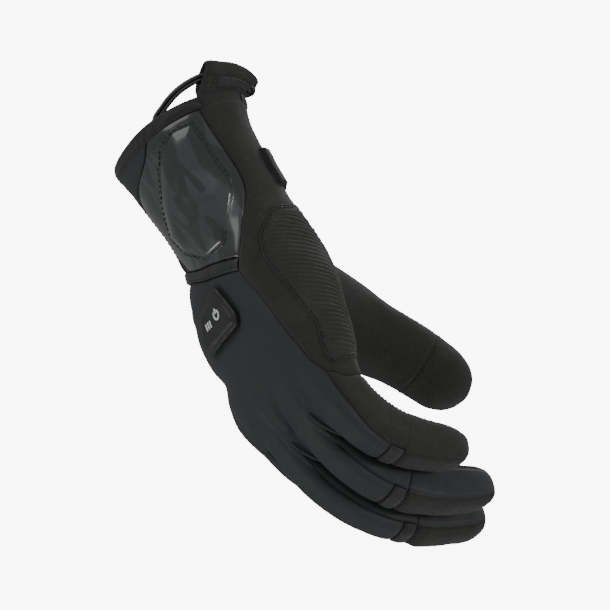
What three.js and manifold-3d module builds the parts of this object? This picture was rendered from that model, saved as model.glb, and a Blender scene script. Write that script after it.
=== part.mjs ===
// Heated glove for the left hand, worn form, fingers hanging down in a relaxed curl.
// Origin at the centre of the cuff opening. +Z leaves the cuff, the palm faces +X, the thumb is on +Y.
import * as THREE from 'three';
import { mergeVertices } from 'three/addons/utils/BufferGeometryUtils.js';
import Module from 'manifold-3d';

const wasm = await Module();
wasm.setup();

// ---- Driving sizes, millimetres ----
const cuffLength = 62.6;        // rim to wrist
const handLength = 92;        // wrist to finger roots
const palmWidth = 93;         // across the knuckles
const palmDepth = 50;         // reference for the thickness of the hand
const littleLength = 83, ringLength = 111, middleLength = 120, indexLength = 104;
const fingerDepth = 27;       // thickness of a finger at its root
const fingerSpace = 1.7;      // free space between neighbouring fingers at their roots
const thumbLength = 132, thumbWidth = 36, thumbDepth = 33;
const wall = 2.6;             // padded shell
const seamGap = 0.36;         // clearance between sewn panels
const slitShare = 3;          // how much farther a panel keeps from the end of a slit
const crotchShare = 0.6;       // wall thickness at the end of a slit, as a share
const layGap = 0.45;          // clearance under a piece that lies on the shell
const hemWidth = 4.4;
const hemLift = 0.5;          // how far the binding stands proud
const stripLift = 0.6;        // how far the wrist strip stands proud
const bandWidth = 6.2, bandLift = 0.5;
const padThickness = 1.2, padRise = 2.2;
const patchThickness = 1.3, patchRise = 0.6;
const loopRiseBack = 23.7, loopRisePalm = 15, loopThickness = 1.7, loopRoom = 3.4, loopTuck = 17;
const labelThickness = 0.7;
const leadDiameter = 1.6, leadSpace = 0.5;
const tabThickness = 3.0;
const buttonThickness = 2.2, buttonBevel = 0.9;
const printThickness = 0.4, printGap = 0.3;
const iconDiameter = 5.4, iconLine = 0.9, barLength = 3.6, barWidth = 0.9, barStep = 2.1;

const leadArch = 7.5;         // how high the leads arch between the rim and the loop

const rad = Math.PI / 180;
const clamp = (x, a, b) => Math.min(b, Math.max(a, x));
const smooth = (x, a, b) => { const t = clamp((x - a) / (b - a), 0, 1); return t * t * (3 - 2 * t); };
const bell = (x) => Math.exp(-x * x);
const mix = (a, b, t) => a + (b - a) * t;

// ---- Tables: shares of the named sizes ----
// along counts 0 rim, 1 wrist, 2 finger roots; depths are shares of palmDepth, width of palmWidth
const bodyTable = [
  { along: 0.00, lean: -9, width: 0.905, palm: 0.638, back: 0.67, box: 2.2 },
  { along: 0.042, lean: -8, width: 0.90, palm: 0.63, back: 0.66, box: 2.2 },
  { along: 0.234, lean: -3, width: 0.85, palm: 0.57, back: 0.60, box: 2.2 },
  { along: 0.473, lean: -1, width: 0.81, palm: 0.54, back: 0.56, box: 2.2 },
  { along: 1.00, lean: -8, width: 0.82, palm: 0.53, back: 0.49, box: 2.3 },
  { along: 1.20, lean: -14, width: 0.90, palm: 0.59, back: 0.50, box: 2.35 },
  { along: 1.45, lean: -15, width: 0.99, palm: 0.59, back: 0.49, box: 2.35 },
  { along: 1.75, lean: -7, width: 1.02, palm: 0.50, back: 0.46, box: 2.3 },
  { along: 2.00, lean: -3, width: 1.00, palm: 0.40, back: 0.46, box: 2.3 },
  { along: 2.25, lean: 4, width: 0.97, palm: 0.32, back: 0.40, box: 2.3 },
];
// pads under the skin: angle and along of the middle, spread of each, height as a share of palmDepth
const padTable = [
  { angle: 40, along: 1.35, wide: 40, long: 0.24, height: 0.03 },
  { angle: 130, along: 1.33, wide: 38, long: 0.29, height: 0.16 },
];
// fingers: place and drift across as shares of palmWidth, rise as a share of fingerDepth,
// band as a share of the length, bends as [share of length, angle]
const fingerTable = {
  little: { place: -0.373, drift: 0.029, start: 2.00, rise: -0.148, length: littleLength, band: 0.455, bends: [[-0.12, -4], [0, 0], [0.2, 14], [0.45, 40], [0.7, 57], [1, 60]] },
  ring: { place: -0.125, drift: 0.017, start: 2.04, rise: -0.148, length: ringLength, band: 0.455, bends: [[-0.1, -6], [0, -2], [0.2, 14], [0.45, 40], [0.7, 63], [1, 74]] },
  middle: { place: 0.125, drift: 0.010, start: 2.06, rise: -0.222, length: middleLength, band: 0.57, bends: [[-0.1, -6], [0, -4], [0.2, 15], [0.45, 41], [0.7, 63], [1, 77]] },
  index: { place: 0.373, drift: -0.002, start: 1.92, rise: 0.074, length: indexLength, band: 0.56, bends: [[-0.1, -4], [0, 4], [0.2, 22], [0.45, 46], [0.7, 66], [1, 82]] },
};
const fingerTaper = [[0, 1.00, 1.10], [0.3, 1.00, 1.02], [0.6, 0.98, 0.94], [0.85, 0.94, 0.84], [1, 0.89, 0.78]]; // share, width, depth
// thumb: start and headings; loop is where it joins the hand, in angle and along
const thumbTable = {
  start: { across: 0.333, out: 0.38, along: 1.125 },
  headings: [[0, 0.72, 0.20, -0.66], [0.3, 0.72, 0.10, -0.68], [0.6, 0.66, 0.02, -0.75], [1, 0.50, -0.06, -0.86]],
  taper: [[0, 1.50, 2.00], [0.25, 1.30, 1.66], [0.5, 1.06, 1.16], [0.8, 0.98, 0.93], [1, 0.92, 0.82]],
  loop: { angle: 126, along: 1.33, wide: 42, long: 0.34, shrink: 0.30, blend: 0.50 },
};
// angle over the hand for each finger angle; 0 little-finger side, 90 palm, 180 thumb side, 270 back
const rayTable = {
  little: [[-145, -64], [-90, -46], [-35, -28], [35, 28], [90, 46], [145, 64]],
  ring: [[-145, -90], [-35, -64], [35, 64], [145, 90]],
  middle: [[-145, -116], [-35, -90], [35, 90], [145, 116]],
  index: [[35, 116], [90, 134], [145, 152], [215, 208], [270, 226], [325, 244]],
};
// slits between fingers: angle over the hand and along
const slitTable = {
  littleRing: { angle: 64, along: 2.087, between: ['little', 'ring'] },
  ringMiddle: { angle: 90, along: 2.130, between: ['ring', 'middle'] },
  middleIndex: { angle: 116, along: 2.087, between: ['middle', 'index'] },
};
const handRows = [1.717, 1.804, 1.886, 1.962, 2.065, 2.087, 2.130]; // rows that all fingers share, last ones at the slits
const openShare = 0.217, aheadShare = 0.37;   // how fast a finger frees itself, shares of handLength

// ---- Curves from tables ----
function gradient(xs, ys) {
  const n = xs.length;
  return xs.map((x, i) => {
    if (i === 0) return (ys[1] - ys[0]) / (xs[1] - xs[0]);
    if (i === n - 1) return (ys[n - 1] - ys[n - 2]) / (xs[n - 1] - xs[n - 2]);
    const a = xs[i] - xs[i - 1], b = xs[i + 1] - xs[i];
    return (a * a * ys[i + 1] + (b * b - a * a) * ys[i] - b * b * ys[i - 1]) / (a * b * (a + b));
  });
}
function smoothTable(xs, ys) {
  const m = gradient(xs, ys);
  return (value) => {
    const x = clamp(value, xs[0], xs[xs.length - 1]);
    let i = 0;
    while (i < xs.length - 2 && x >= xs[i + 1]) i++;
    const h = xs[i + 1] - xs[i], t = (x - xs[i]) / h, s = t * t, c = s * t;
    return (2 * c - 3 * s + 1) * ys[i] + (c - 2 * s + t) * h * m[i] + (3 * s - 2 * c) * ys[i + 1] + (c - s) * h * m[i + 1];
  };
}
function straightTable(rows) {
  return (x) => {
    let i = 0;
    while (i < rows.length - 2 && x > rows[i + 1][0]) i++;
    const [a, p] = rows[i], [b, q] = rows[i + 1];
    return mix(p, q, clamp((x - a) / (b - a), 0, 1));
  };
}
const toDistance = (along) => (along < 1 ? along * cuffLength : cuffLength + (along - 1) * handLength);
const toAlong = (d) => (d < cuffLength ? d / cuffLength : 1 + (d - cuffLength) / handLength);

// a path in the XZ plane that turns by a table of angles
function bendPath(distances, angles, steps = 600) {
  const angle = smoothTable(distances, angles), first = distances[0], last = distances[distances.length - 1];
  const rows = [];
  let x = 0, z = 0;
  for (let i = 0; i <= steps; i++) {
    const d = mix(first, last, i / steps), a = angle(d) * rad;
    if (i) {
      const b = rows[i - 1].a, h = (last - first) / steps;
      x += (Math.sin(a) + Math.sin(b)) / 2 * h;
      z -= (Math.cos(a) + Math.cos(b)) / 2 * h;
    }
    rows.push({ x, z, a });
  }
  return (d) => {
    const f = clamp((d - first) / (last - first), 0, 1) * steps, i = Math.min(steps - 1, Math.floor(f)), t = f - i;
    return { x: mix(rows[i].x, rows[i + 1].x, t), z: mix(rows[i].z, rows[i + 1].z, t), a: mix(rows[i].a, rows[i + 1].a, t) };
  };
}
const superPoint = (angle, n) => {
  const c = Math.cos(angle * rad), s = Math.sin(angle * rad);
  return [Math.sign(c) * Math.abs(c) ** (2 / n), Math.sign(s) * Math.abs(s) ** (2 / n)];
};

// ---- The hand: cuff and palm as one loft ----
const bodyDistances = bodyTable.map((r) => toDistance(r.along));
const bodyEnd = bodyDistances[bodyDistances.length - 1];
const bodyPath = bendPath(bodyDistances, bodyTable.map((r) => r.lean));
const bodyColumn = (name) => smoothTable(bodyDistances, bodyTable.map((r) => r[name]));
const [bodyWidth, bodyPalm, bodyBack, bodyBox] = ['width', 'palm', 'back', 'box'].map(bodyColumn);
const wrapAngle = (a) => ((a + 180) % 360 + 360) % 360 - 180;
function body(angle, d) {
  const { x, z, a } = bodyPath(d), [c, s] = superPoint(angle, bodyBox(d)), along = toAlong(d);
  let depth = (s > 0 ? bodyPalm(d) : bodyBack(d)) * palmDepth * s;
  for (const p of padTable) depth += p.height * palmDepth * bell((wrapAngle(angle) - p.angle) / p.wide) * bell((along - p.along) / p.long) * Math.max(0, s);
  return new THREE.Vector3(x + depth * Math.cos(a), -bodyWidth(d) * palmWidth / 2 * c, z + depth * Math.sin(a));
}
const bodyCentre = (d) => { const p = bodyPath(Math.min(d, bodyEnd)); return new THREE.Vector3(p.x, 0, p.z); };

// ---- Fingers ----
const domeShare = 0.62;
const fingerWidth = palmWidth / 4 - fingerSpace;
const taperWidth = smoothTable(fingerTaper.map((r) => r[0]), fingerTaper.map((r) => r[1]));
const taperDepth = smoothTable(fingerTaper.map((r) => r[0]), fingerTaper.map((r) => r[2]));
const fingers = {};
for (const [name, r] of Object.entries(fingerTable)) {
  const start = toDistance(r.start), root = bodyPath(start), rise = r.rise * fingerDepth;
  const path = bendPath(r.bends.map((b) => b[0] * r.length), r.bends.map((b) => b[1]));
  const zero = path(0), shiftX = root.x - zero.x + rise * Math.cos(root.a), shiftZ = root.z - zero.z + rise * Math.sin(root.a);
  const dome = fingerDepth * domeShare;
  const centre = (s) => {
    const p = path(clamp(s, r.bends[0][0] * r.length, r.length)), share = clamp(s / r.length, 0, 1);
    return { x: p.x + shiftX, z: p.z + shiftZ, a: p.a, y: (r.place + r.drift * share) * palmWidth };
  };
  const point = (angle, s) => {
    const p = centre(s), share = clamp(s / r.length, 0, 1), q = clamp((s - (r.length - dome)) / dome, 0, 1);
    const [c, n] = superPoint(angle, 2.9);
    const depth = taperDepth(share) * fingerDepth / 2 * Math.sqrt(1 - q ** 2.4) * n;
    const half = taperWidth(share) * fingerWidth / 2 * Math.max(0, 1 - q ** 3.2) ** (1 / 2.3);
    return new THREE.Vector3(p.x + depth * Math.cos(p.a), p.y - half * c, p.z + depth * Math.sin(p.a));
  };
  fingers[name] = { ...r, name, start, dome, centre, point, end: start + r.length };
}
const slits = {};
for (const [name, r] of Object.entries(slitTable)) slits[name] = { ...r, at: toDistance(r.along) };
const slitBelow = (finger) => Object.values(slits).find((s) => s.between[1] === finger);
const slitAbove = (finger) => Object.values(slits).find((s) => s.between[0] === finger);
const rayAngle = {}, rayBack = {};
for (const [name, rows] of Object.entries(rayTable)) {
  rayAngle[name] = straightTable(rows);
  rayBack[name] = straightTable(rows.map(([p, t]) => [t, p]));
}
const fingerAngle = (name, angle) => (name === 'index' && angle < 0 ? angle + 360 : angle);
// free share of a finger at distance d: 0 still hand, 1 all finger
function freeShare(name, angle, d) {
  const across = wrapAngle(angle) < 0 ? -90 - wrapAngle(angle) : angle - 90;
  const above = slitAbove(name), below = slitBelow(name);
  const high = above ? clamp(across / 55, 0, 1) : 0, low = below ? clamp(-across / 55, 0, 1) : 0;
  const close = Math.max(high, low) ** 2;
  const own = [above, below].filter(Boolean).map((s) => s.at), mean = own.reduce((a, b) => a + b, 0) / own.length;
  const edge = across > 0 ? (above || below).at : (below || above).at;
  const at = mix(mean, (across > 0 ? above : below) ? edge : mean, close);
  return smooth(d, at - aheadShare * handLength * (1 - close), at + 6 + (openShare * handLength - 6) * close);
}
function ray(name, angle, d) {
  const f = fingers[name], a = fingerAngle(name, angle), w = freeShare(name, a > 215 ? a - 360 : a, d);
  return body(rayAngle[name](a), Math.min(d, bodyEnd)).lerp(f.point(angle, d - f.start), w);
}
const rayCentre = (name, d) => {
  const f = fingers[name], p = f.centre(d - f.start);
  return new THREE.Vector3(p.x, p.y, p.z);
};
// the inner side of a finger beside a slit, from the web line out
function slitSide(finger, slit, angle, d) {
  const f = fingers[finger], high = slit.between[0] === finger, t = high ? (angle - 145) / 70 : (angle + 35) / 70;
  const back = body(-slit.angle, Math.min(d, bodyEnd)), palm = body(slit.angle, Math.min(d, bodyEnd));
  const flat = high ? palm.lerp(back, t) : back.lerp(palm, t);
  return flat.lerp(f.point(angle, d - f.start), smooth(d, slit.at, slit.at + openShare * handLength));
}
// any point of the hand's skin by angle over the hand, negative angles on the back
function skin(angle, d) {
  if (d <= toDistance(handRows[0])) return body(angle, d);
  const t = wrapAngle(angle), m = Math.abs(t);
  const name = m <= 64 ? 'little' : m <= 90 ? 'ring' : m <= 116 ? 'middle' : 'index';
  const lookup = name === 'index' ? rayBack.index((t + 360) % 360)
    : name === 'little' ? rayBack.little(t)
    : (t < 0 ? straightTable([[rayTable[name][0][1], -145], [rayTable[name][1][1], -35]])(t) : straightTable([[rayTable[name][2][1], 35], [rayTable[name][3][1], 145]])(t));
  return ray(name, lookup, d);
}

// ---- Thumb ----
const thumbStart = (() => {
  const t = thumbTable.start, p = bodyPath(toDistance(t.along)), out = t.out * palmDepth;
  return new THREE.Vector3(p.x + out * Math.cos(p.a), t.across * palmWidth, p.z + out * Math.sin(p.a));
})();
const thumbHeading = [1, 2, 3].map((k) => smoothTable(thumbTable.headings.map((r) => r[0]), thumbTable.headings.map((r) => r[k])));
const thumbSteps = 240, thumbLine = [];
for (let i = 0; i <= thumbSteps; i++) {
  const t = i / thumbSteps, dir = new THREE.Vector3(...thumbHeading.map((h) => h(t))).normalize();
  const at = i ? thumbLine[i - 1].at.clone().addScaledVector(thumbLine[i - 1].dir.clone().add(dir), thumbLength / thumbSteps / 2) : thumbStart;
  thumbLine.push({ at, dir });
}
const thumbWide = smoothTable(thumbTable.taper.map((r) => r[0]), thumbTable.taper.map((r) => r[1]));
const thumbDeep = smoothTable(thumbTable.taper.map((r) => r[0]), thumbTable.taper.map((r) => r[2]));
const thumbDome = thumbDepth * domeShare;
function thumbCentre(s) {
  const f = clamp(s / thumbLength, 0, 1) * thumbSteps, i = Math.min(thumbSteps - 1, Math.floor(f));
  return { at: thumbLine[i].at.clone().lerp(thumbLine[i + 1].at, f - i), dir: thumbLine[i].dir.clone().lerp(thumbLine[i + 1].dir, f - i).normalize() };
}
function thumbTube(angle, s) {
  const { at, dir } = thumbCentre(s), side = new THREE.Vector3(0.15, 0.98, 0.1);
  side.addScaledVector(dir, -side.dot(dir)).normalize();
  const up = side.clone().cross(dir), q = clamp((s - (thumbLength - thumbDome)) / thumbDome, 0, 1), [c, n] = superPoint(angle, 2.4);
  const half = thumbWide(s / thumbLength) * thumbWidth / 2 * Math.max(0, 1 - q ** 2.8) ** (1 / 2.3);
  const deep = thumbDeep(s / thumbLength) * thumbDepth / 2 * Math.sqrt(1 - q ** 2.4);
  return at.addScaledVector(side, half * c).addScaledVector(up, deep * n);
}
function thumbLoop(angle, scale = 1) {
  const l = thumbTable.loop, [c, n] = superPoint(angle, 2.2);
  return [l.angle + l.wide * scale * c, toDistance(l.along + l.long * scale * n)];
}
function thumb(angle, s) {
  const l = thumbTable.loop, q = clamp(s / (thumbLength * l.blend), 0, 1), w = q * q * (3 - 2 * q);
  return body(...thumbLoop(angle, 1 - l.shrink * q)).lerp(thumbTube(angle, s), w);
}

// ---- Sheets: grids of outer points, welded, then given thickness ----
const range = (a, b, n) => Array.from({ length: n + 1 }, (_, i) => mix(a, b, i / n));
class Sheet {
  constructor() { this.points = []; this.index = new Map(); this.faces = []; this.centres = []; }
  add(p) {
    const key = [p.x, p.y, p.z].map((v) => Math.round(v * 500 + 0.137)).join();
    if (!this.index.has(key)) { this.index.set(key, this.points.length); this.points.push(p.clone()); }
    return this.index.get(key);
  }
  // rows of points; inside(i, j) is a point behind the surface there
  grid(rows, inside) {
    const ids = rows.map((r) => r.map((p) => this.add(p)));
    let facing = 0;
    const list = [];
    const push = (i, j, a, b, c) => {
      if (a === b || b === c || a === c) return;
      const [A, B, C] = [a, b, c].map((k) => this.points[k]);
      const n = B.clone().sub(A).cross(C.clone().sub(A));
      facing += n.dot(A.clone().sub(inside(i, j)));
      list.push([a, b, c]);
    };
    for (let i = 0; i + 1 < ids.length; i++) for (let j = 0; j + 1 < ids[i].length; j++) {
      const [a, b, c, d] = [ids[i][j], ids[i + 1][j], ids[i + 1][j + 1], ids[i][j + 1]];
      const [A, B, C, D] = [a, b, c, d].map((k) => this.points[k]);
      if (A.distanceTo(C) <= B.distanceTo(D)) { push(i, j, a, b, c); push(i, j, a, c, d); }
      else { push(i, j, a, b, d); push(i, j, b, c, d); }
    }
    for (const f of list) this.faces.push(facing > 0 ? f : [f[0], f[2], f[1]]);
    return this;
  }
  faceNormals() {
    return this.faces.map(([a, b, c]) => {
      const [A, B, C] = [this.points[a], this.points[b], this.points[c]];
      return B.clone().sub(A).cross(C.clone().sub(A)).normalize();
    });
  }
  // each vertex gets its corners' normals, weighted by angle
  corners(visit) {
    const normals = this.faceNormals();
    this.faces.forEach((f, k) => f.forEach((v, i) => {
      const P = this.points[v], Q = this.points[f[(i + 1) % 3]], R = this.points[f[(i + 2) % 3]];
      visit(v, normals[k], Q.clone().sub(P).angleTo(R.clone().sub(P)));
    }));
  }
}
const vertexKey = (p) => [p.x, p.y, p.z].map((v) => Math.round(v * 100 + 0.137)).join();
// mean normals over all sheets that meet, so that neighbouring walls share one direction
function meanNormals(sheets) {
  const sums = new Map();
  for (const s of sheets) s.corners((v, n, w) => {
    const key = vertexKey(s.points[v]);
    if (!sums.has(key)) sums.set(key, { sum: new THREE.Vector3(), list: [] });
    sums.get(key).sum.addScaledVector(n, w);
    sums.get(key).list.push(n);
  });
  return (p) => {
    const { sum, list } = sums.get(vertexKey(p)), m = sum.clone().normalize();
    const least = Math.min(...list.map((n) => n.dot(m)));
    return m.multiplyScalar(least < 0.55 ? crotchShare : 1 / Math.max(0.68, least)); // shorter where the skin folds sharply
  };
}
// closed solid between the sheet lifted by outer and lowered by depth, edges drawn back by margin
function thicken(sheet, normal, depth, { lift = 0, margin = seamGap / 2, rise = null } = {}) {
  const edges = new Map(), normals = sheet.faceNormals();
  sheet.faces.forEach((f, k) => f.forEach((a, i) => {
    const b = f[(i + 1) % 3];
    if (edges.has(`${b},${a}`)) edges.delete(`${b},${a}`); else edges.set(`${a},${b}`, [a, b, k]);
  }));
  const move = sheet.points.map(() => []);
  for (const [a, b, k] of edges.values()) {
    const e = sheet.points[b].clone().sub(sheet.points[a]), inward = normals[k].clone().cross(e).normalize();
    for (const v of [a, b]) move[v].push({ inward, away: (v === a ? e : e.clone().negate()).normalize() });
  }
  const outer = [], inner = [];
  sheet.points.forEach((p, v) => {
    const m = normal(p), q = p.clone(), list = move[v];
    if (list.length >= 2) {
      const [d, e] = list, facing = 1 + d.inward.dot(e.inward);
      if (facing > 0.3) q.addScaledVector(d.inward.clone().add(e.inward), margin / facing);
      else q.addScaledVector(d.away.clone().add(e.away).normalize(), -margin * slitShare);
    }
    const up = lift + (rise ? rise(v, list.length > 0) : 0);
    outer.push(q.clone().addScaledVector(m, up));
    inner.push(q.clone().addScaledVector(m, -depth));
  });
  const count = outer.length, faces = [];
  for (const [a, b, c] of sheet.faces) faces.push([a, b, c], [count + a, count + c, count + b]);
  // both sheets at a seam split their walls along the same diagonal
  const first = (a, b) => { const p = sheet.points[a], q = sheet.points[b], d = p.z - q.z || p.y - q.y || p.x - q.x; return Math.abs(p.z - q.z) > 1e-4 ? p.z < q.z : Math.abs(p.y - q.y) > 1e-4 ? p.y < q.y : d < 0; };
  for (const [a, b] of edges.values()) {
    if (first(a, b)) faces.push([b, a, count + b], [a, count + a, count + b]);
    else faces.push([b, a, count + a], [b, count + a, count + b]);
  }
  return { points: [...outer, ...inner], faces };
}
function geometry({ points, faces }) {
  const g = new THREE.BufferGeometry();
  g.setAttribute('position', new THREE.Float32BufferAttribute(points.flatMap((p) => [p.x, p.y, p.z]), 3));
  g.setIndex(faces.flat());
  return g;
}
function toManifold(g) {
  const bare = g.clone();
  bare.deleteAttribute('normal'); bare.deleteAttribute('uv');
  const m = mergeVertices(bare, 1e-3);
  return new wasm.Manifold(new wasm.Mesh({ numProp: 3, vertProperties: new Float32Array(m.attributes.position.array), triVerts: new Uint32Array(m.index.array) }));
}
function fromManifold(m) {
  const mesh = m.getMesh(), g = new THREE.BufferGeometry();
  g.setAttribute('position', new THREE.Float32BufferAttribute(mesh.vertProperties, mesh.numProp));
  g.setIndex(Array.from(mesh.triVerts));
  return g;
}

// ---- Borders over the hand, as [angle, along] ----
// distance along a polyline of [angle, along], one degree counted as this much of along
const degreeShare = 0.009;
function spread(list, n) {
  const cum = [0];
  for (let i = 1; i < list.length; i++) cum.push(cum[i - 1] + Math.hypot((list[i][0] - list[i - 1][0]) * degreeShare, list[i][1] - list[i - 1][1]));
  return range(0, cum[cum.length - 1], n).map((t) => {
    let i = 0;
    while (i < list.length - 2 && t > cum[i + 1]) i++;
    const k = clamp((t - cum[i]) / (cum[i + 1] - cum[i]), 0, 1);
    return [mix(list[i][0], list[i + 1][0], k), mix(list[i][1], list[i + 1][1], k)];
  });
}
const hemAlong = hemWidth / cuffLength;
const cuffRows = 8, palmCuffRows = 7, handRowCount = 7;
const shieldRight = spread([[-19, hemAlong], [-14, 0.387], [-11.5, 0.617], [-13, 0.769], [-22, 0.881], [-41, 1.06], [-57, 1.212]], cuffRows);
const shieldLeft = spread([[-70, hemAlong], [-80, 0.169], [-97, 0.221], [-116, 0.267], [-130, 0.348], [-138, 0.52], [-137, 0.732], [-128, 0.904], [-113, 1.043]], cuffRows);
const stripTop = [[-152, 0.969], [-132, 0.991], [-113, 1.043], [-80, 1.147], [-57, 1.212]];
const stripLow = [[-152, 1.049], [-114, 1.106], [-85, 1.217], [-62, 1.277]];
const littleSeam = straightTable([[1.717, -82], [1.886, -56], [1.962, -34], [2.16, -29], [2.32, -44], [2.40, -52.5], [3, -52]].map(([a, b]) => [toDistance(a), b]));
// the seam that parts the back from the side wrap, then the little finger's back from its side
const ulnarSeam = [[-62, 1.277], [-58, 1.36], [-54, 1.446], [-49, 1.56], [rayAngle.little(littleSeam(toDistance(handRows[0]))), handRows[0]]];
const backCounts = { index: 4, middle: 4, ring: 4, little: 3 };
const outerCount = 4, palmCount = 3, sideCount = 3;
const handTop = handRows[0];

const alongPoint = (p) => skin(p[0], toDistance(p[1]));
// fills four borders of [angle, along]; top and bottom run with u, left and right with v
function coons(top, bottom, left, right) {
  const nu = top.length - 1, nv = left.length - 1;
  return range(0, 1, nv).map((v, i) => range(0, 1, nu).map((u, j) => [0, 1].map((k) =>
    mix(top[j][k], bottom[j][k], v) + mix(left[i][k], right[i][k], u)
    - mix(mix(top[0][k], top[nu][k], u), mix(bottom[0][k], bottom[nu][k], u), v))));
}
const lay = (sheet, rows) => sheet.grid(rows.map((r) => r.map(alongPoint)), (i, j) => bodyCentre(toDistance(rows[i][j][1])));
const line = (a, b, n) => range(0, 1, n).map((t) => [mix(a[0], b[0], t), mix(a[1], b[1], t)]);

// finger rows: shared ones first, then each finger's own up to its band and cap
const fingerRowCounts = { little: 4, ring: 6, middle: 7, index: 6 };
const sharedRows = handRows.map(toDistance);
const fingerRows = {};
for (const f of Object.values(fingers)) {
  const band = f.start + f.band * f.length, from = sharedRows[sharedRows.length - 1];
  fingerRows[f.name] = [...sharedRows.slice(0, -1), ...range(from, band, fingerRowCounts[f.name]), band + bandWidth];
}
const beforeBand = (name) => fingerRows[name].slice(0, -1);
const capStart = (name) => fingerRows[name][fingerRows[name].length - 1];
const columns = (name, part) => {
  if (part === 'back') return name === 'index' ? range(215, 325, backCounts.index) : range(-145, -35, backCounts[name]);
  if (part === 'palm') return range(35, 145, palmCount);
  if (part === 'outer') return range(145, 215, outerCount);
  return part === 'low' ? range(-35, 35, sideCount) : range(145, 215, sideCount);
};
const rayGrid = (sheet, name, rows, angles) => sheet.grid(
  rows.map((d) => (typeof angles === 'function' ? angles(d) : angles).map((a) => ray(name, a, d))),
  (i) => rayCentre(name, rows[i]));
const littleBack = (d) => range(-145, littleSeam(d), backCounts.little);

const sheets = {};
const sheet = (name) => (sheets[name] ??= new Sheet());

// cuff
lay(sheet('cuff_shield'), (() => {
  const n = backCounts.little + backCounts.ring + backCounts.middle;
  return coons(line(shieldLeft[0], shieldRight[0], n), spread(stripTop.slice(2), n), shieldLeft, shieldRight);
})());
const shieldBottom = spread(stripTop.slice(2), backCounts.little + backCounts.ring + backCounts.middle);
const gussetBottom = spread(stripTop.slice(0, 3), backCounts.index);
const stripTopLine = [...gussetBottom, ...shieldBottom.slice(1)];
const backColumns = (top) => { // angles of the back's columns at the level of the shared finger rows
  const map = (name, list) => list.map((a) => rayAngle[name](a));
  const index = map('index', columns('index', 'back')).map((a) => a - 360);
  const middle = map('middle', columns('middle', 'back')), ring = map('ring', columns('ring', 'back')), little = littleBack(sharedRows[0]).map((a) => rayAngle.little(a));
  return [...index, ...middle.slice(1), ...ring.slice(1), ...little.slice(1)];
};
const stripLowLine = spread(stripLow, stripTopLine.length - 1);
lay(sheet('wrist_strip'), coons(stripTopLine, stripLowLine, line(stripTopLine[0], stripLowLine[0], 2), line(stripTopLine.at(-1), stripLowLine.at(-1), 2)));
const outerSeam = line([-152, stripLow[0][1]], [-152, handTop], handRowCount);
const ulnarLine = spread(ulnarSeam, handRowCount);
lay(sheet('back_panel'), coons(stripLowLine, backColumns().map((a) => [a, handTop]), outerSeam, ulnarLine));
for (const name of Object.keys(fingers)) rayGrid(sheet('back_panel'), name, beforeBand(name), name === 'little' ? littleBack : columns(name, 'back'));

// side wrap: from the hem to the root of the little finger
const wrapEnd = 2.065;                        // along, where the wrap ends at the slit side
const wrapRight = [
  ...spread([[50, hemAlong], [56, 1.02]], palmCuffRows),
  ...line([56, 1.02], [64, handTop], handRowCount + 2).slice(1),
  ...[handRows[1], handRows[2], handRows[3], wrapEnd].map((a) => [64, a]),
];
const wrapLeft = [
  ...shieldRight,
  ...line(shieldRight.at(-1), stripLowLine.at(-1), 2).slice(1),
  ...ulnarLine.slice(1),
  ...[handRows[1], handRows[2], handRows[3]].map((a) => [rayAngle.little(littleSeam(toDistance(a))), a]),
];
const wrapColumns = 7;
const wrapBottom = spread([wrapLeft.at(-1), [-11, 1.996], [0, 2.038], [28, 2.06], [64, wrapEnd]], wrapColumns);
lay(sheet('side_wrap'), coons(line(wrapLeft[0], wrapRight[0], wrapColumns), wrapBottom, wrapLeft, wrapRight));

// little finger's side: from the wrap's end to the cap
(() => {
  const name = 'little', rows = fingerRows.little, from = rows.findIndex((d) => d >= toDistance(wrapEnd) - 0.01);
  const top = wrapBottom.map(([a, along]) => [rayBack.little(a), toDistance(along)]);
  const below = rows.slice(from + 1), bottomAngles = (d) => range(littleSeam(d), 145, wrapColumns);
  const seamRows = rows.filter((d) => d > toDistance(handRows[3]) + 0.01 && d < below[0] - 0.01);
  // first patch from the sloping end to the first straight row, then straight rows
  const d0 = below[0], lowest = bottomAngles(d0).map((a) => [a, d0]);
  const left = [top[0], ...seamRows.map((d) => [littleSeam(d), d]), lowest[0]];
  const right = left.map((p, i) => [145, i < left.length - 1 ? top.at(-1)[1] : d0]);
  const grid = coons(top, lowest, left, right);
  sheet('little_side').grid(grid.map((r) => r.map(([a, d]) => ray(name, a, d))), (i, j) => rayCentre(name, grid[i][j][1]));
  rayGrid(sheet('little_side'), name, below, bottomAngles);
})();

// palm: cuff part, hand part, three fingers
const gussetLeft = [160, 1.02];
const palmTopAngles = palmCount * 3;
const cuffPalmBottom = line(wrapRight[palmCuffRows], gussetLeft, palmTopAngles);
lay(sheet('palm_panel'), coons(line(wrapRight[0], [160, hemAlong], palmTopAngles), cuffPalmBottom, wrapRight.slice(0, palmCuffRows + 1), line([160, hemAlong], gussetLeft, palmCuffRows)));
const handPalmTop = [...cuffPalmBottom, ...line(gussetLeft, [208, stripTop[0][1]], outerCount).slice(1)];
const palmColumns = ['ring', 'middle', 'index'].flatMap((name, k) => columns(name, 'palm').slice(k ? 1 : 0).map((a) => rayAngle[name](a)));
const handPalmBottom = [...palmColumns, ...columns('index', 'outer').slice(1).map((a) => rayAngle.index(a))].map((a) => [a, handTop]);
const outerLine = [...line([208, stripTop[0][1]], [208, stripLow[0][1]], 2), ...line([208, stripLow[0][1]], [208, handTop], handRowCount).slice(1)];
lay(sheet('palm_panel'), coons(handPalmTop, handPalmBottom, wrapRight.slice(palmCuffRows, palmCuffRows + handRowCount + 3), outerLine));
for (const name of ['ring', 'middle', 'index']) rayGrid(sheet('palm_panel'), name, fingerRows[name], name === 'index' ? [...columns(name, 'palm'), ...columns(name, 'outer').slice(1)] : columns(name, 'palm'));

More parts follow.
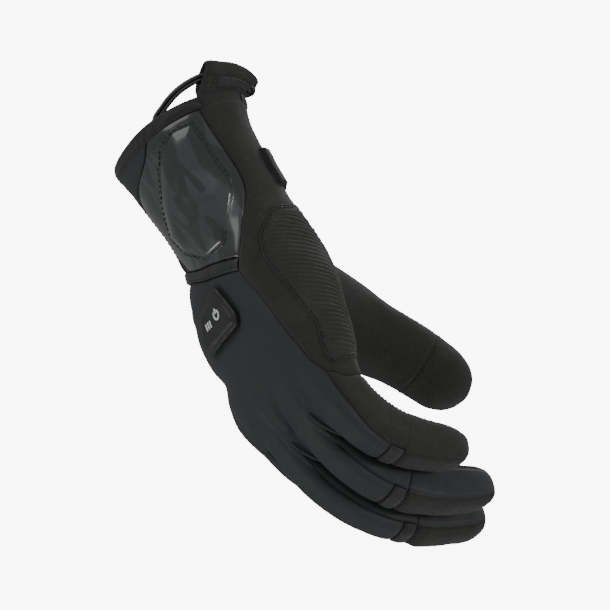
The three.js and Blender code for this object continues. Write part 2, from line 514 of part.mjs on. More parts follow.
// gusset between palm and shield
lay(sheet('cuff_gusset'), (() => {
  const bottom = [...line(gussetLeft, [208, stripTop[0][1]], outerCount), ...gussetBottom.slice(1).map(([a, b]) => [a + 360, b])];
  const top = line([160, hemAlong], [shieldLeft[0][0] + 360, hemAlong], bottom.length - 1);
  return coons(top, bottom, [...line([160, hemAlong], gussetLeft, palmCuffRows), gussetLeft], shieldLeft.map(([a, b]) => [a + 360, b]));
})());

// webs between fingers
for (const [key, slit] of Object.entries(slits)) {
  const name = `web_${slit.between.join('_')}`;
  for (const finger of slit.between) {
    const high = slit.between[0] === finger, angles = columns(finger, high ? 'high' : 'low');
    const rows = fingerRows[finger].filter((d) => d > slit.at - 0.01);
    sheet(name).grid(rows.map((d) => angles.map((a) => slitSide(finger, slit, a, d))), (i) => rayCentre(finger, rows[i]));
  }
}
// bands across the backs and caps over the tips
const capRows = (f) => [capStart(f.name), mix(capStart(f.name), f.end - f.dome, 0.5), f.end - f.dome, ...[0.45, 0.72, 0.9].map((t) => f.end - f.dome + t * f.dome), f.end];
for (const f of Object.values(fingers)) {
  const name = f.name, back = name === 'little' ? littleBack : columns(name, 'back');
  rayGrid(sheet(`band_${name}`), name, fingerRows[name].slice(-2), back);
  const start = capStart(name);
  const backList = name === 'little' ? littleBack(start) : columns(name, 'back');
  const front = name === 'little' ? range(littleSeam(start), 145, wrapColumns) : name === 'index' ? [...columns(name, 'palm'), ...columns(name, 'outer').slice(1)] : columns(name, 'palm');
  const low = slitBelow(name) ? columns(name, 'low') : [], high = slitAbove(name) ? columns(name, 'high').map((a) => a - 360) : [];
  // once round, starting at the back
  const around = name === 'index' ? [...backList.map((a) => a - 360), ...low.slice(1), ...front.slice(1)]
    : [...(high.length ? high : []), ...backList.slice(high.length ? 1 : 0), ...low.slice(low.length ? 1 : 0), ...front.slice(1)];
  sheet(`tip_${name}`).grid(capRows(f).map((d) => around.map((a) => f.point(a, d - f.start))), (i) => rayCentre(name, Math.min(capRows(f)[i], f.end - f.dome)));
}
// thumb: palm face, back face and tip
const thumbRound = 20;
const thumbRows = [0, 0.05, 0.14, 0.21, 0.29, 0.38, 0.48, 0.58, 0.68, 0.76].map((t) => t * thumbLength);
const thumbTipRows = [0.76 * thumbLength, mix(0.76 * thumbLength, thumbLength - thumbDome, 0.99), ...[0.45, 0.72, 0.9].map((t) => thumbLength - thumbDome + t * thumbDome), thumbLength];
const thumbAngles = range(0, 360, thumbRound);
const thumbGrid = (name, rows, angles) => sheet(name).grid(rows.map((s) => angles.map((a) => thumb(a, s))), (i) => thumbCentre(Math.max(0.1 * thumbLength, Math.min(rows[i], thumbLength - thumbDome))).at);
const backFrom = 13, backTo = 20;             // columns of the thumb's back face
thumbGrid('thumb_palm', thumbRows, thumbAngles.slice(0, backFrom + 1));
thumbGrid('thumb_back', thumbRows, thumbAngles.slice(backFrom, backTo + 1));
thumbGrid('thumb_tip', thumbTipRows, thumbAngles);
// hem: open where the loop passes
const hemFrom = 31, hemTo = 341;
const hemAngles = [hemFrom, 50, ...line(wrapRight[0], [160, 0], palmTopAngles).slice(1).map((p) => p[0]),
  ...line([160, 0], [shieldLeft[0][0] + 360, 0], outerCount + backCounts.index).slice(1).map((p) => p[0]),
  ...line(shieldLeft[0], shieldRight[0], shieldBottom.length - 1).slice(1).map((p) => p[0] + 360)];
sheet('cuff_hem').grid([0, hemWidth * 0.5, hemWidth].map((d) => hemAngles.map((a) => body(a, d))), () => bodyCentre(0));

const shellNames = Object.keys(sheets);
const shellNormal = meanNormals(Object.values(sheets));
const solids = {};
const lifts = { cuff_hem: hemLift, wrist_strip: stripLift };
for (const name of shellNames) {
  const lift = lifts[name] ?? (name.startsWith('band_') ? bandLift : 0);
  solids[name] = geometry(thicken(sheets[name], shellNormal, wall, { lift }));
}
// cuts a piece back from a neighbour's sheet, grown a little past its seams
function clear(name, neighbour, reach, margin) {
  const block = geometry(thicken(sheets[neighbour], shellNormal, wall + reach, { lift: reach, margin }));
  solids[name] = fromManifold(toManifold(solids[name]).subtract(toManifold(block)));
}
// the palm is cut where the thumb leaves it
(() => {
  const away = (p, d) => p.clone().sub(bodyCentre(d)).normalize();
  const rings = [1, 0.7, 0.4, 0].map((scale) => thumbAngles.slice(0, -1).map((a) => {
    const [angle, d] = thumbLoop(a, scale), p = body(angle, d);
    if (scale < 1) return { p, m: away(p, d) };
    return { p: p.clone().add(p.clone().sub(body(...thumbLoop(a, 0.9))).normalize().multiplyScalar(seamGap / 2 + 0.25)), m: shellNormal(thumb(a, 0)) };
  }));
  const cutter = new Sheet(), reach = 3 * wall, rows = [];
  for (const r of [...rings].reverse()) rows.push(r.map(({ p, m }) => p.clone().addScaledVector(m, reach)));
  for (const r of rings) rows.push(r.map(({ p, m }) => p.clone().addScaledVector(m, -reach)));
  for (const r of rows) r.push(r[0]);
  const middle = body(thumbTable.loop.angle, toDistance(thumbTable.loop.along));
  cutter.grid(rows, () => middle);
  solids.palm_panel = fromManifold(toManifold(solids.palm_panel).subtract(toManifold(geometry({ points: cutter.points, faces: cutter.faces }))));
  for (const face of ['thumb_palm', 'thumb_back']) clear('palm_panel', face, seamGap * 0.8, -seamGap * 0.8);
})();

// ---- Pieces that lie on the shell ----
// closed outline with rounded corners; each straight run is cut into pieces so that it follows the surface
function rounded(corners, share, cuts) {
  const n = corners.length, out = [];
  const at = (p, q, t) => [mix(p[0], q[0], t), mix(p[1], q[1], t)];
  for (let i = 0; i < n; i++) {
    const p = corners[(i + n - 1) % n], q = corners[i], r = corners[(i + 1) % n];
    const a = at(q, p, share), b = at(q, r, share), m = at(at(a, q, 0.5), at(q, b, 0.5), 0.5);
    out.push(a, m, b);
    const next = at(r, q, share);
    for (let k = 1; k < cuts; k++) out.push(at(b, next, k / cuts));
  }
  return out;
}
// rings of an outline drawn towards its middle, as rows for a grid
function rings(outline, scales) {
  const c = [0, 1].map((k) => outline.reduce((s, p) => s + p[k], 0) / outline.length);
  return scales.map((t) => [...outline, outline[0]].map((p) => [mix(c[0], p[0], t), mix(c[1], p[1], t)]));
}
// a cover over the surface place(a, b): gap under it, thickness at the edge, height gained towards the middle
function cover(rows, place, inside, { gap = layGap, thickness, rises }) {
  const s = new Sheet(), height = new Map();
  const placed = rows.map((r) => r.map(([a, b]) => place(a, b)));
  s.grid(placed, (i, j) => inside(rows[i][j][0], rows[i][j][1]));
  placed.forEach((r, i) => r.forEach((p) => height.set(s.add(p), rises[i])));
  return geometry(thicken(s, meanNormals([s]), -gap, { lift: gap + thickness, margin: 0, rise: (v) => height.get(v) }));
}
const onHand = (a, along) => skin(a, toDistance(along));
const inHand = (a, along) => bodyCentre(toDistance(along));
const padOutline = rounded([[-48, 0.115], [-27, 0.13], [-22, 0.66], [-28, 0.79], [-62, 1.09], [-86, 1.10], [-106, 0.93], [-115, 0.71], [-96, 0.48], [-78, 0.27], [-66, 0.17]], 0.25, 1);
solids.shield_pad = cover(rings(padOutline, [0, 0.4, 0.75, 1]), onHand, inHand, { gap: layGap + 0.12, thickness: padThickness, rises: [1, 0.95, 0.72, 0].map((t) => t * padRise) });
const patchOutline = rounded([[-1, 1.0], [36, 1.0], [52, 1.25], [52, 1.62], [42, 1.96], [-16, 1.95], [-23, 1.84], [-16, 1.72], [-28, 1.45], [-35, 1.31], [-33, 1.20], [-24, 1.12]], 0.2, 1);
solids.grip_patch = cover(rings(patchOutline, [0, 0.4, 0.75, 1]), onHand, inHand, { gap: -1.2, thickness: patchThickness + layGap + 1.2, rises: [1, 1, 0.8, 0].map((t) => t * patchRise) });
// its underside is seated on the wrap, with the clearance between them
const wrapBlock = geometry(thicken(sheets.side_wrap, shellNormal, 2 * wall, { lift: layGap, margin: -0.3 }));
solids.grip_patch = fromManifold(toManifold(solids.grip_patch).subtract(toManifold(wrapBlock)));
const tabOutline = rounded([[25, 0.50], [78, 0.52], [78, 0.82], [25, 0.83]], 0.22, 3);
solids.wrist_tab = cover(rings(tabOutline, [0, 0.55, 0.93, 1]), onHand, inHand, { thickness: tabThickness - 0.8, rises: [0.8, 0.8, 0.8, 0] });
const buttonOutline = rounded([[-85, 1.27], [-76, 1.475], [-79, 1.53], [-121, 1.55], [-127, 1.50], [-119, 1.35], [-112, 1.315], [-91, 1.272]], 0.3, 1);
solids.control_button = cover(rings(buttonOutline, [0, 0.5, 0.86, 1]), onHand, inHand, { thickness: buttonThickness - buttonBevel, rises: [buttonBevel, buttonBevel, buttonBevel, 0] });

// plain printed marks on the button, flat plates on its top
(() => {
  const mid = [-90, 1.42], p = onHand(...mid), h = 0.5;
  const across = onHand(mid[0] + h, mid[1]).sub(onHand(mid[0] - h, mid[1])).normalize();
  const down = onHand(mid[0], mid[1] + 0.01).sub(onHand(mid[0], mid[1] - 0.01)).normalize();
  const up = across.clone().cross(down).normalize();
  if (up.dot(p.clone().sub(bodyCentre(toDistance(mid[1])))) < 0) up.negate();
  const top = layGap + buttonThickness + printGap;
  const right = up.clone().cross(down).normalize();
  const plate = (shape, x, y) => {
    const g = new THREE.ExtrudeGeometry(shape, { depth: printThickness, bevelEnabled: false, curveSegments: 6 });
    const at = p.clone().addScaledVector(up, top).addScaledVector(right, x).addScaledVector(down, y);
    g.applyMatrix4(new THREE.Matrix4().makeBasis(right, down.clone().negate(), up).setPosition(at));
    return g;
  };
  const ring = new THREE.Shape(), R = iconDiameter / 2, r = R - iconLine, from = Math.PI / 2 + 0.55, to = Math.PI / 2 - 0.55 + 2 * Math.PI;
  ring.absarc(0, 0, R, from, to, false);
  ring.absarc(0, 0, r, to, from, true);
  const bar = (w, l) => new THREE.Shape([[-w / 2, -l / 2], [w / 2, -l / 2], [w / 2, l / 2], [-w / 2, l / 2]].map((v) => new THREE.Vector2(...v)));
  solids.power_ring = plate(ring, 0, -1);
  solids.power_stem = plate(bar(iconLine, R), 0, -1 - R * 0.75);
  for (let k = 0; k < 3; k++) solids[`level_bar_${k + 1}`] = plate(bar(barWidth, barLength), -11.7 + k * barStep, 0.4);
})();

// ---- Pull loop: up from the wrap's end, over, and down inside the cuff ----
const loopFrom = -16, loopTo = 29;           // angles at the rim
function outward(angle, d) {
  const e = 0.4, a = body(angle + e, d).sub(body(angle - e, d)), b = body(angle, d + e).sub(body(angle, Math.max(0, d - e)));
  const n = a.cross(b).normalize();
  return n.dot(body(angle, d).sub(bodyCentre(d))) > 0 ? n : n.negate();
}
const loopFold = (wall + seamGap + loopThickness + loopRoom) / 2;
const loopWayBack = new THREE.Vector3(0.70, -0.14, 0.70).normalize(), loopWayPalm = new THREE.Vector3(0.88, -0.22, 0.40).normalize();
const loopWay = (t) => loopWayBack.clone().multiplyScalar(loopRiseBack).lerp(loopWayPalm.clone().multiplyScalar(loopRisePalm), t);
const loopOut = new THREE.Vector3(0, -1, 0), loopBack = wall + seamGap + loopThickness;
const loopRim = (t) => body(mix(loopFrom, loopTo, t), 0);
// middle of the tunnel under the fold
const tunnel = (t) => loopRim(t).addScaledVector(loopWay(t), 0.60).addScaledVector(loopOut, -loopFold * 0.97);
function loopCurve(t) {
  const angle = mix(loopFrom, loopTo, t), way = loopWay(t);
  const rise = (k, out = 0) => loopRim(t).addScaledVector(way, k).addScaledVector(loopOut, out);
  const inner = (d) => body(angle, d).addScaledVector(outward(angle, d), -loopBack);
  return new THREE.CatmullRomCurve3([
    body(angle, hemWidth), body(angle, hemWidth * 0.5), rise(0.06), rise(0.3), rise(0.52), rise(0.72),
    rise(0.98, loopFold * -0.38), rise(1.02, loopFold * -1.25), rise(0.84, loopFold * -1.95),
    rise(0.38, -loopBack - loopRoom * 0.7), inner(0).addScaledVector(way, 0.1), inner(loopTuck * 0.4), inner(loopTuck * 0.7), inner(loopTuck),
  ], false, 'centripetal');
}
const loopLines = range(0, 1, 3).map(loopCurve), loopSteps = 20;
const loopRows = range(0, 1, loopSteps).map((u) => loopLines.map((c) => c.getPoint(u)));
const loopMiddle = tunnel(0.5);
const loopInside = (i) => {
  const a = loopRows[i][1], b = loopRows[loopRows.length - 1 - i][1];
  return a.clone().lerp(b, 0.5).lerp(loopMiddle, 0.2);
};
sheets.pull_loop = new Sheet().grid(loopRows, loopInside);
solids.pull_loop = geometry(thicken(sheets.pull_loop, meanNormals([sheets.pull_loop]), loopThickness));
const onLoop = (t, u) => loopCurve(t).getPoint(u);
solids.loop_label = cover(rings(rounded([[0.28, 0.19], [0.28, 0.30], [0.97, 0.30], [0.97, 0.19]], 0.12, 3), [0, 1]), onLoop, () => loopMiddle, { gap: 0.35, thickness: labelThickness, rises: [0, 0] });

// ---- Battery leads: out of the cuff, through the loop and back in ----
const inRim = (angle, d, more) => body(angle, d).addScaledVector(outward(angle, d), -(wall + more));
function lead(side) {
  const step = side * (leadDiameter + leadSpace) / 2, close = 1.6 + leadDiameter / 2;
  const from = inRim(-60, 0, close + 1), to = tunnel(0.04);
  const points = [inRim(-65, 20, close), inRim(-63, 9, close + 0.3), from];
  for (const k of [0.22, 0.5, 0.78]) points.push(from.clone().lerp(to, k).add(new THREE.Vector3(0, 0, leadArch * 4 * k * (1 - k))));
  points.push(to, tunnel(0.5), tunnel(0.98), tunnel(1.3), inRim(60, 0, close + 4).add(new THREE.Vector3(0, 0, leadArch * 0.5)), inRim(62, 6, close + 3.5), inRim(62, 13, close + 1.5), inRim(62, 20, close + 0.5));
  const middle = new THREE.CatmullRomCurve3(points, false, 'centripetal'), count = 40, placed = [];
  for (let i = 0; i <= count; i++) {
    const way = middle.getTangent(i / count).normalize(), aside = way.clone().cross(new THREE.Vector3(0.5, 0.7, 0.5)).normalize();
    placed.push(middle.getPoint(i / count).addScaledVector(aside, step));
  }
  const path = new THREE.CatmullRomCurve3(placed, false, 'centripetal');
  const section = new THREE.Shape(range(0, 360, 6).slice(0, 6).map((a) => new THREE.Vector2(Math.cos(a * rad), Math.sin(a * rad)).multiplyScalar(leadDiameter / 2)));
  return new THREE.ExtrudeGeometry(section, { steps: 22, extrudePath: path, bevelEnabled: false });
}
solids.lead_outer = lead(-1);
solids.lead_inner = lead(1);

// ---- Group ----
const looks = {
  softshell: { color: 0x2d2f31, roughness: 0.85 },
  suede: { color: 0x2f2f2d, roughness: 0.95 },
  gloss: { color: 0x3c3f42, roughness: 0.25 },
  trim: { color: 0x26282a, roughness: 0.6 },
  rubber: { color: 0x1c1d1f, roughness: 0.5 },
  print: { color: 0xe8e8e8, roughness: 0.5 },
};
const lookOf = (name) => {
  if (/^(cuff_shield|shield_pad|wrist_strip)/.test(name)) return looks.gloss;
  if (/^(back_panel|cuff_gusset|thumb_back)/.test(name)) return looks.softshell;
  if (/^(cuff_hem|band_|loop_label)/.test(name)) return looks.trim;
  if (/^(lead_|control_button|wrist_tab)/.test(name)) return looks.rubber;
  if (/^(power_|level_bar)/.test(name)) return looks.print;
  return looks.suede;
};
const group = new THREE.Group();
for (const [name, g] of Object.entries(solids)) {
  const mesh = new THREE.Mesh(g, new THREE.MeshStandardMaterial({ ...lookOf(name), metalness: 0 }));
  mesh.name = name;
  group.add(mesh);
}
export default group;
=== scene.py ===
# Heated glove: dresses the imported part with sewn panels, thread and finishes.
import math
import bpy
import numpy as np
from mathutils import Matrix, Vector


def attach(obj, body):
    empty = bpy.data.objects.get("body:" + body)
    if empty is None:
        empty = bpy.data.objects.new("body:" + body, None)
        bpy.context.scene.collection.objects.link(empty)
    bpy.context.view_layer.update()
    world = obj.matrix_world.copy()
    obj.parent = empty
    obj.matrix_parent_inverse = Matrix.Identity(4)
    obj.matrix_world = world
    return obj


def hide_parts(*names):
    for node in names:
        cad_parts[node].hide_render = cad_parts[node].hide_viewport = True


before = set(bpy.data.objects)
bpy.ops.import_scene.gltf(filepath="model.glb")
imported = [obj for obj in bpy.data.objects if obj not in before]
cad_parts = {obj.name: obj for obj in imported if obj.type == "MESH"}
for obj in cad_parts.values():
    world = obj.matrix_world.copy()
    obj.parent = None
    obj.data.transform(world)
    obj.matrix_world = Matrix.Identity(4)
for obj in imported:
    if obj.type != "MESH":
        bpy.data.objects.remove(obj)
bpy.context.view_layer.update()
print("frame loaded")

# camera first, at the photograph's angle; lengths here in millimetres
cameraSet = {"azimuth": -38, "elevation": -10, "roll": 32, "distance": 1400, "pixelsPerMm": 2.0,
             "originPixel": (179.9, 135.4), "imageSize": 610}


def cameraFrame(c):
    # right, up and back directions of the camera and its place
    a, e, r = (math.radians(c[k]) for k in ("azimuth", "elevation", "roll"))
    back = np.array([math.sin(a) * math.cos(e), -math.cos(a) * math.cos(e), math.sin(e)])
    right0 = np.array([math.cos(a), math.sin(a), 0.0])
    up0 = np.cross(back, right0)
    right, up = right0 * math.cos(r) - up0 * math.sin(r), right0 * math.sin(r) + up0 * math.cos(r)
    half = c["imageSize"] / 2
    aim = ((half - c["originPixel"][0]) * right - (half - c["originPixel"][1]) * up) / c["pixelsPerMm"]
    return right, up, back, aim + back * c["distance"]


def makeCamera(c):
    right, up, back, place = cameraFrame(c)
    data = bpy.data.cameras.new("camera")
    data.sensor_width = 36
    data.lens = 36 * c["pixelsPerMm"] * c["distance"] / c["imageSize"]
    data.clip_end = 50
    camera = bpy.data.objects.new("camera", data)
    bpy.context.collection.objects.link(camera)
    m = Matrix.Identity(4)
    for k, column in enumerate((right, up, back, place / 1000)):
        for row in range(3):
            m[row][k] = column[row]
    camera.matrix_world = m
    bpy.context.scene.camera = camera
    return right, up, back


camRight, camUp, camBack = makeCamera(cameraSet)

# small maths, all on whole arrays
fine = 6                 # fine steps for each coarse step of the panels


def smoothTable(xs, ys):
    # cubic curve through a table: Hermite pieces, each row's slope taken from its neighbours
    xs, ys = np.array(xs, float), np.array(ys, float)
    slope = np.gradient(ys, xs)

    def value(x):
        x = np.clip(x, xs[0], xs[-1])
        i = np.clip(np.searchsorted(xs, x, side="right") - 1, 0, len(xs) - 2)
        h = xs[i + 1] - xs[i]
        t = (x - xs[i]) / h
        start, end = (2 * t**3 - 3 * t**2 + 1) * ys[i], (3 * t**2 - 2 * t**3) * ys[i + 1]
        return start + (t**3 - 2 * t**2 + t) * h * slope[i] + end + (t**3 - t**2) * h * slope[i + 1]
    return value


def smoothStep(x, a, b):
    t = np.clip((x - a) / (b - a), 0, 1)
    return t * t * (3 - 2 * t)


def bell(x, width):
    # 1 at x = 0, falling to both sides as exp(-(x/width)^2)
    return np.exp(-(x / width) ** 2)


def bendPath(distances, angles, steps=600):
    # a path in the XZ plane: its heading follows a table of angles, its place is the running sum of the heading
    d = np.linspace(distances[0], distances[-1], steps + 1)
    a = np.radians(smoothTable(distances, angles)(d))
    h = d[1] - d[0]
    x = np.concatenate([[0], np.cumsum((np.sin(a[1:]) + np.sin(a[:-1])) / 2 * h)])
    z = -np.concatenate([[0], np.cumsum((np.cos(a[1:]) + np.cos(a[:-1])) / 2 * h)])
    return lambda q: (np.interp(q, d, x), np.interp(q, d, z), np.interp(q, d, a))


def superPoint(angle, n):
    # rounded square: cosine and sine, each raised to 2/n with its sign kept
    c, s = np.cos(np.radians(angle)), np.sin(np.radians(angle))
    return np.sign(c) * np.abs(c) ** (2 / n), np.sign(s) * np.abs(s) ** (2 / n)


def lattice(i, j, k, seed):
    # a fixed pseudo-random number from -1 to 1 for each whole-number corner
    with np.errstate(over="ignore"):
        h = (i.astype(np.uint32) * np.uint32(73856093)) ^ (j.astype(np.uint32) * np.uint32(19349663))
        h = h ^ (k.astype(np.uint32) * np.uint32(83492791)) ^ np.uint32(seed * 2654435 + 97)
        h = (h ^ (h >> np.uint32(13))) * np.uint32(1274126177)
        h = (h ^ (h >> np.uint32(15))) * np.uint32(2246822519)
        h = h ^ (h >> np.uint32(16))
    return h.astype(float) / 2147483648.0 - 1


def noise(p, cell, seed=1):
    # value noise: smooth blend of the eight corner numbers of the cell that a point lies in
    q = p / cell + 1000
    i = np.floor(q).astype(np.int64)
    f = q - i
    f = f * f * (3 - 2 * f)
    total = 0
    for a, b, c in np.ndindex(2, 2, 2):
        share = [f[..., axis] if far else 1 - f[..., axis] for axis, far in enumerate((a, b, c))]
        total = total + share[0] * share[1] * share[2] * lattice(i[..., 0] + a, i[..., 1] + b, i[..., 2] + c, seed)
    return total


def nearest(points, targets, step=1500):
    # distance to, and number of, the nearest target for each point
    square = (targets ** 2).sum(1)
    dist, index = np.empty(len(points)), np.empty(len(points), int)
    for k in range(0, len(points), step):
        p = points[k:k + step]
        d2 = (p ** 2).sum(1)[:, None] + square[None] - 2 * p @ targets.T
        index[k:k + step] = d2.argmin(1)
        dist[k:k + step] = np.sqrt(np.maximum(d2.min(1), 0))
    return dist, index


def unit(v):
    return v / np.maximum(np.linalg.norm(v, axis=-1, keepdims=True), 1e-12)


# hand: one loft of rounded squares; along counts 0 rim, 1 wrist, 2 finger roots
hand = {
    "cuffLength": 62.6, "handLength": 92, "palmWidth": 93, "palmDepth": 50,
    # along, lean, width, palm side, back side, squareness
    "sections": np.array([
        [0.00, -9, 0.905, 0.638, 0.67, 2.2], [0.042, -8, 0.90, 0.63, 0.66, 2.2], [0.234, -3, 0.85, 0.57, 0.60, 2.2],
        [0.473, -1, 0.81, 0.54, 0.56, 2.2], [1.00, -8, 0.82, 0.53, 0.49, 2.3], [1.20, -14, 0.90, 0.59, 0.50, 2.35],
        [1.45, -15, 0.99, 0.59, 0.49, 2.35], [1.75, -7, 1.02, 0.50, 0.46, 2.3], [2.00, -3, 1.00, 0.40, 0.46, 2.3],
        [2.25, 4, 0.97, 0.32, 0.40, 2.3]]),
    # swells under the skin: angle, along, wide, long, height
    "swells": [(40, 1.35, 40, 0.24, 0.03), (130, 1.33, 38, 0.29, 0.16)],
    "rows": [1.717, 1.804, 1.886, 1.962, 2.065, 2.087, 2.130],
    "openShare": 0.217, "aheadShare": 0.37,
}
cuffLength, handLength = hand["cuffLength"], hand["handLength"]
palmWidth, palmDepth = hand["palmWidth"], hand["palmDepth"]


def toDistance(along):
    along = np.asarray(along, float)
    return np.where(along < 1, along * cuffLength, cuffLength + (along - 1) * handLength)


def toAlong(d):
    return np.where(d < cuffLength, d / cuffLength, 1 + (d - cuffLength) / handLength)


def wrapAngle(a):
    return (np.asarray(a, float) + 180) % 360 - 180


sections = hand["sections"]
bodyDistances = toDistance(sections[:, 0])
bodyEnd = bodyDistances[-1]
bodyPath = bendPath(bodyDistances, sections[:, 1])
bodyWidth, bodyPalm, bodyBack, bodyBox = (smoothTable(bodyDistances, sections[:, k]) for k in (2, 3, 4, 5))


def swell(angle, d, at, along, wide, long):
    # a round rise on the skin: a bell across times a bell along
    return bell(wrapAngle(angle - at), wide) * bell(toAlong(d) - along, long)


def body(angle, d):
    # point of the cuff and hand: half width times the rounded cosine across, depth times the rounded sine to
    # palm or back
    angle, d = np.broadcast_arrays(np.asarray(angle, float), np.asarray(d, float))
    x, z, a = bodyPath(d)
    c, s = superPoint(angle, bodyBox(d))
    depth = np.where(s > 0, bodyPalm(d), bodyBack(d)) * palmDepth * s
    for at, along, wide, long, height in hand["swells"]:
        depth = depth + height * palmDepth * swell(angle, d, at, along, wide, long) * np.maximum(0, s)
    return np.stack([x + depth * np.cos(a), -bodyWidth(d) * palmWidth / 2 * c, z + depth * np.sin(a)], -1)


def bodyCentre(d):
    x, z, a = bodyPath(np.minimum(d, bodyEnd))
    return np.stack([x, np.zeros_like(x), z], -1)


# fingers: tubes along bent paths, which free themselves from the hand
fingerSet = {
    "depth": 27, "space": 1.7, "dome": 0.62, "bandWidth": 6.2,
    "taper": [[0, 1.00, 1.10], [0.3, 1.00, 1.02], [0.6, 0.98, 0.94], [0.85, 0.94, 0.84], [1, 0.89, 0.78]],
    # place, drift, start, rise, length, band, bends
    "little": (-0.373, 0.029, 2.00, -0.148, 80.2, 0.455,
               [[-0.12, -4], [0, 0], [0.2, 14], [0.45, 40], [0.7, 57], [1, 60]]),
    "ring": (-0.125, 0.017, 2.04, -0.148, 108.8, 0.46, [[-0.1, -6], [0, -2], [0.2, 14], [0.45, 40], [0.7, 63],
                                                        [1, 74]]),
    "middle": (0.125, 0.010, 2.06, -0.222, 117.6, 0.575,
               [[-0.1, -6], [0, -4], [0.2, 15], [0.45, 41], [0.7, 63], [1, 77]]),
    "index": (0.373, -0.002, 1.92, 0.074, 104, 0.56, [[-0.1, -4], [0, 4], [0.2, 22], [0.45, 46], [0.7, 66], [1, 82]]),
}
fingerNames = ("little", "ring", "middle", "index")
rayTable = {
    "little": [[-145, -64], [-90, -46], [-35, -28], [35, 28], [90, 46], [145, 64]],
    "ring": [[-145, -90], [-35, -64], [35, 64], [145, 90]],
    "middle": [[-145, -116], [-35, -90], [35, 90], [145, 116]],
    "index": [[35, 116], [90, 134], [145, 152], [215, 208], [270, 226], [325, 244]],
}
slits = {"little_ring": (64, 2.087, "little", "ring"), "ring_middle": (90, 2.130, "ring", "middle"),
         "middle_index": (116, 2.087, "middle", "index")}
slitAfter = {s[2]: s for s in slits.values()}
slitBefore = {s[3]: s for s in slits.values()}
fingerDepth = fingerSet["depth"]
fingerWidth = palmWidth / 4 - fingerSet["space"]
taperTable = np.array(fingerSet["taper"])
taperWidth, taperDepth = (smoothTable(taperTable[:, 0], taperTable[:, k]) for k in (1, 2))


class Finger:
    def __init__(self, name):
        self.name = name
        self.place, self.drift, start, rise, self.length, self.band, bends = fingerSet[name]
        self.start = float(toDistance(start))
        bends = np.array(bends, float)
        self.path = bendPath(bends[:, 0] * self.length, bends[:, 1])
        self.first = bends[0, 0] * self.length
        rootX, rootZ, rootA = bodyPath(self.start)
        zeroX, zeroZ, _ = self.path(0)
        up = rise * fingerDepth
        self.shift = (rootX - zeroX + up * np.cos(rootA), rootZ - zeroZ + up * np.sin(rootA))
        self.dome = fingerDepth * fingerSet["dome"]
        self.end = self.start + self.length

    def centre(self, d):
        s = np.asarray(d, float) - self.start
        x, z, a = self.path(np.clip(s, self.first, self.length))
        y = (self.place + self.drift * np.clip(s / self.length, 0, 1)) * palmWidth
        return np.stack(np.broadcast_arrays(x + self.shift[0], y, z + self.shift[1]), -1), a

    def point(self, angle, d):
        # rounded square of the tapered width and depth round the path, closing to a dome at the end
        s = np.asarray(d, float) - self.start
        middle, a = self.centre(d)
        share, q = np.clip(s / self.length, 0, 1), np.clip((s - (self.length - self.dome)) / self.dome, 0, 1)
        c, n = superPoint(angle, 2.9)
        depth = taperDepth(share) * fingerDepth / 2 * np.sqrt(1 - q ** 2.4) * n
        half = taperWidth(share) * fingerWidth / 2 * np.maximum(0, 1 - q ** 3.2) ** (1 / 2.3)
        return np.stack(np.broadcast_arrays(middle[..., 0] + depth * np.cos(a), middle[..., 1] - half * c,
                                            middle[..., 2] + depth * np.sin(a)), -1)


fingers = {name: Finger(name) for name in fingerNames}


def freeShare(name, angle, d):
    # 0 while a finger is still hand, 1 once it is all finger; it starts later beside a slit
    angle = np.asarray(angle, float)
    across = np.where(wrapAngle(angle) < 0, -90 - wrapAngle(angle), angle - 90)
    above, below = slitAfter.get(name), slitBefore.get(name)
    high = np.clip(across / 55, 0, 1) if above else 0 * across
    low = np.clip(-across / 55, 0, 1) if below else 0 * across
    close = np.maximum(high, low) ** 2
    mean = np.mean([float(toDistance(s[1])) for s in (above, below) if s])
    edgeHigh, edgeLow = (float(toDistance(s[1])) if s else mean for s in (above, below))
    at = mean + (np.where(across > 0, edgeHigh, edgeLow) - mean) * close
    return smoothStep(d, at - hand["aheadShare"] * handLength * (1 - close),
                      at + 6 + (hand["openShare"] * handLength - 6) * close)


def handAngle(name, angle):
    xs, ys = np.array(rayTable[name], float).T
    return np.interp(angle, xs, ys)


def ray(name, angle, d):
    # hand skin blended into finger skin by the free share
    angle, d = np.broadcast_arrays(np.asarray(angle, float), np.asarray(d, float))
    a = np.where(angle < 0, angle + 360, angle) if name == "index" else angle
    w = freeShare(name, np.where(a > 215, a - 360, a), d)[..., None]
    return body(handAngle(name, a), np.minimum(d, bodyEnd)) * (1 - w) + fingers[name].point(angle, d) * w


def slitSide(finger, slit, angle, d):
    # inner side of a finger beside a slit: a flat line between palm and back that opens to the finger's skin
    high = slit[2] == finger
    t = ((angle - 145) / 70 if high else (angle + 35) / 70)[..., None]
    back, palm = body(-slit[0], np.minimum(d, bodyEnd)), body(slit[0], np.minimum(d, bodyEnd))
    flat = palm + (back - palm) * t if high else back + (palm - back) * t
    at = float(toDistance(slit[1]))
    w = smoothStep(d, at, at + hand["openShare"] * handLength)[..., None]
    return flat * (1 - w) + fingers[finger].point(angle, d) * w


def skin(angle, d):
    # any point of the hand's outside by angle over the hand, negative on the back
    angle, d = np.broadcast_arrays(np.asarray(angle, float), np.asarray(d, float))
    t = wrapAngle(angle)
    m = np.abs(t)
    out = body(angle, np.minimum(d, bodyEnd))
    beyond = d > toDistance(hand["rows"][0])
    for name, low, high in (("little", -1, 64), ("ring", 64, 90), ("middle", 90, 116), ("index", 116, 181)):
        here = beyond & (m > low) & (m <= high)
        if here.any():
            xs, ys = np.array(rayTable[name], float).T
            look = (t[here] + 360) % 360 if name == "index" else t[here]
            out[here] = ray(name, np.interp(look, ys, xs), d[here])
    return out


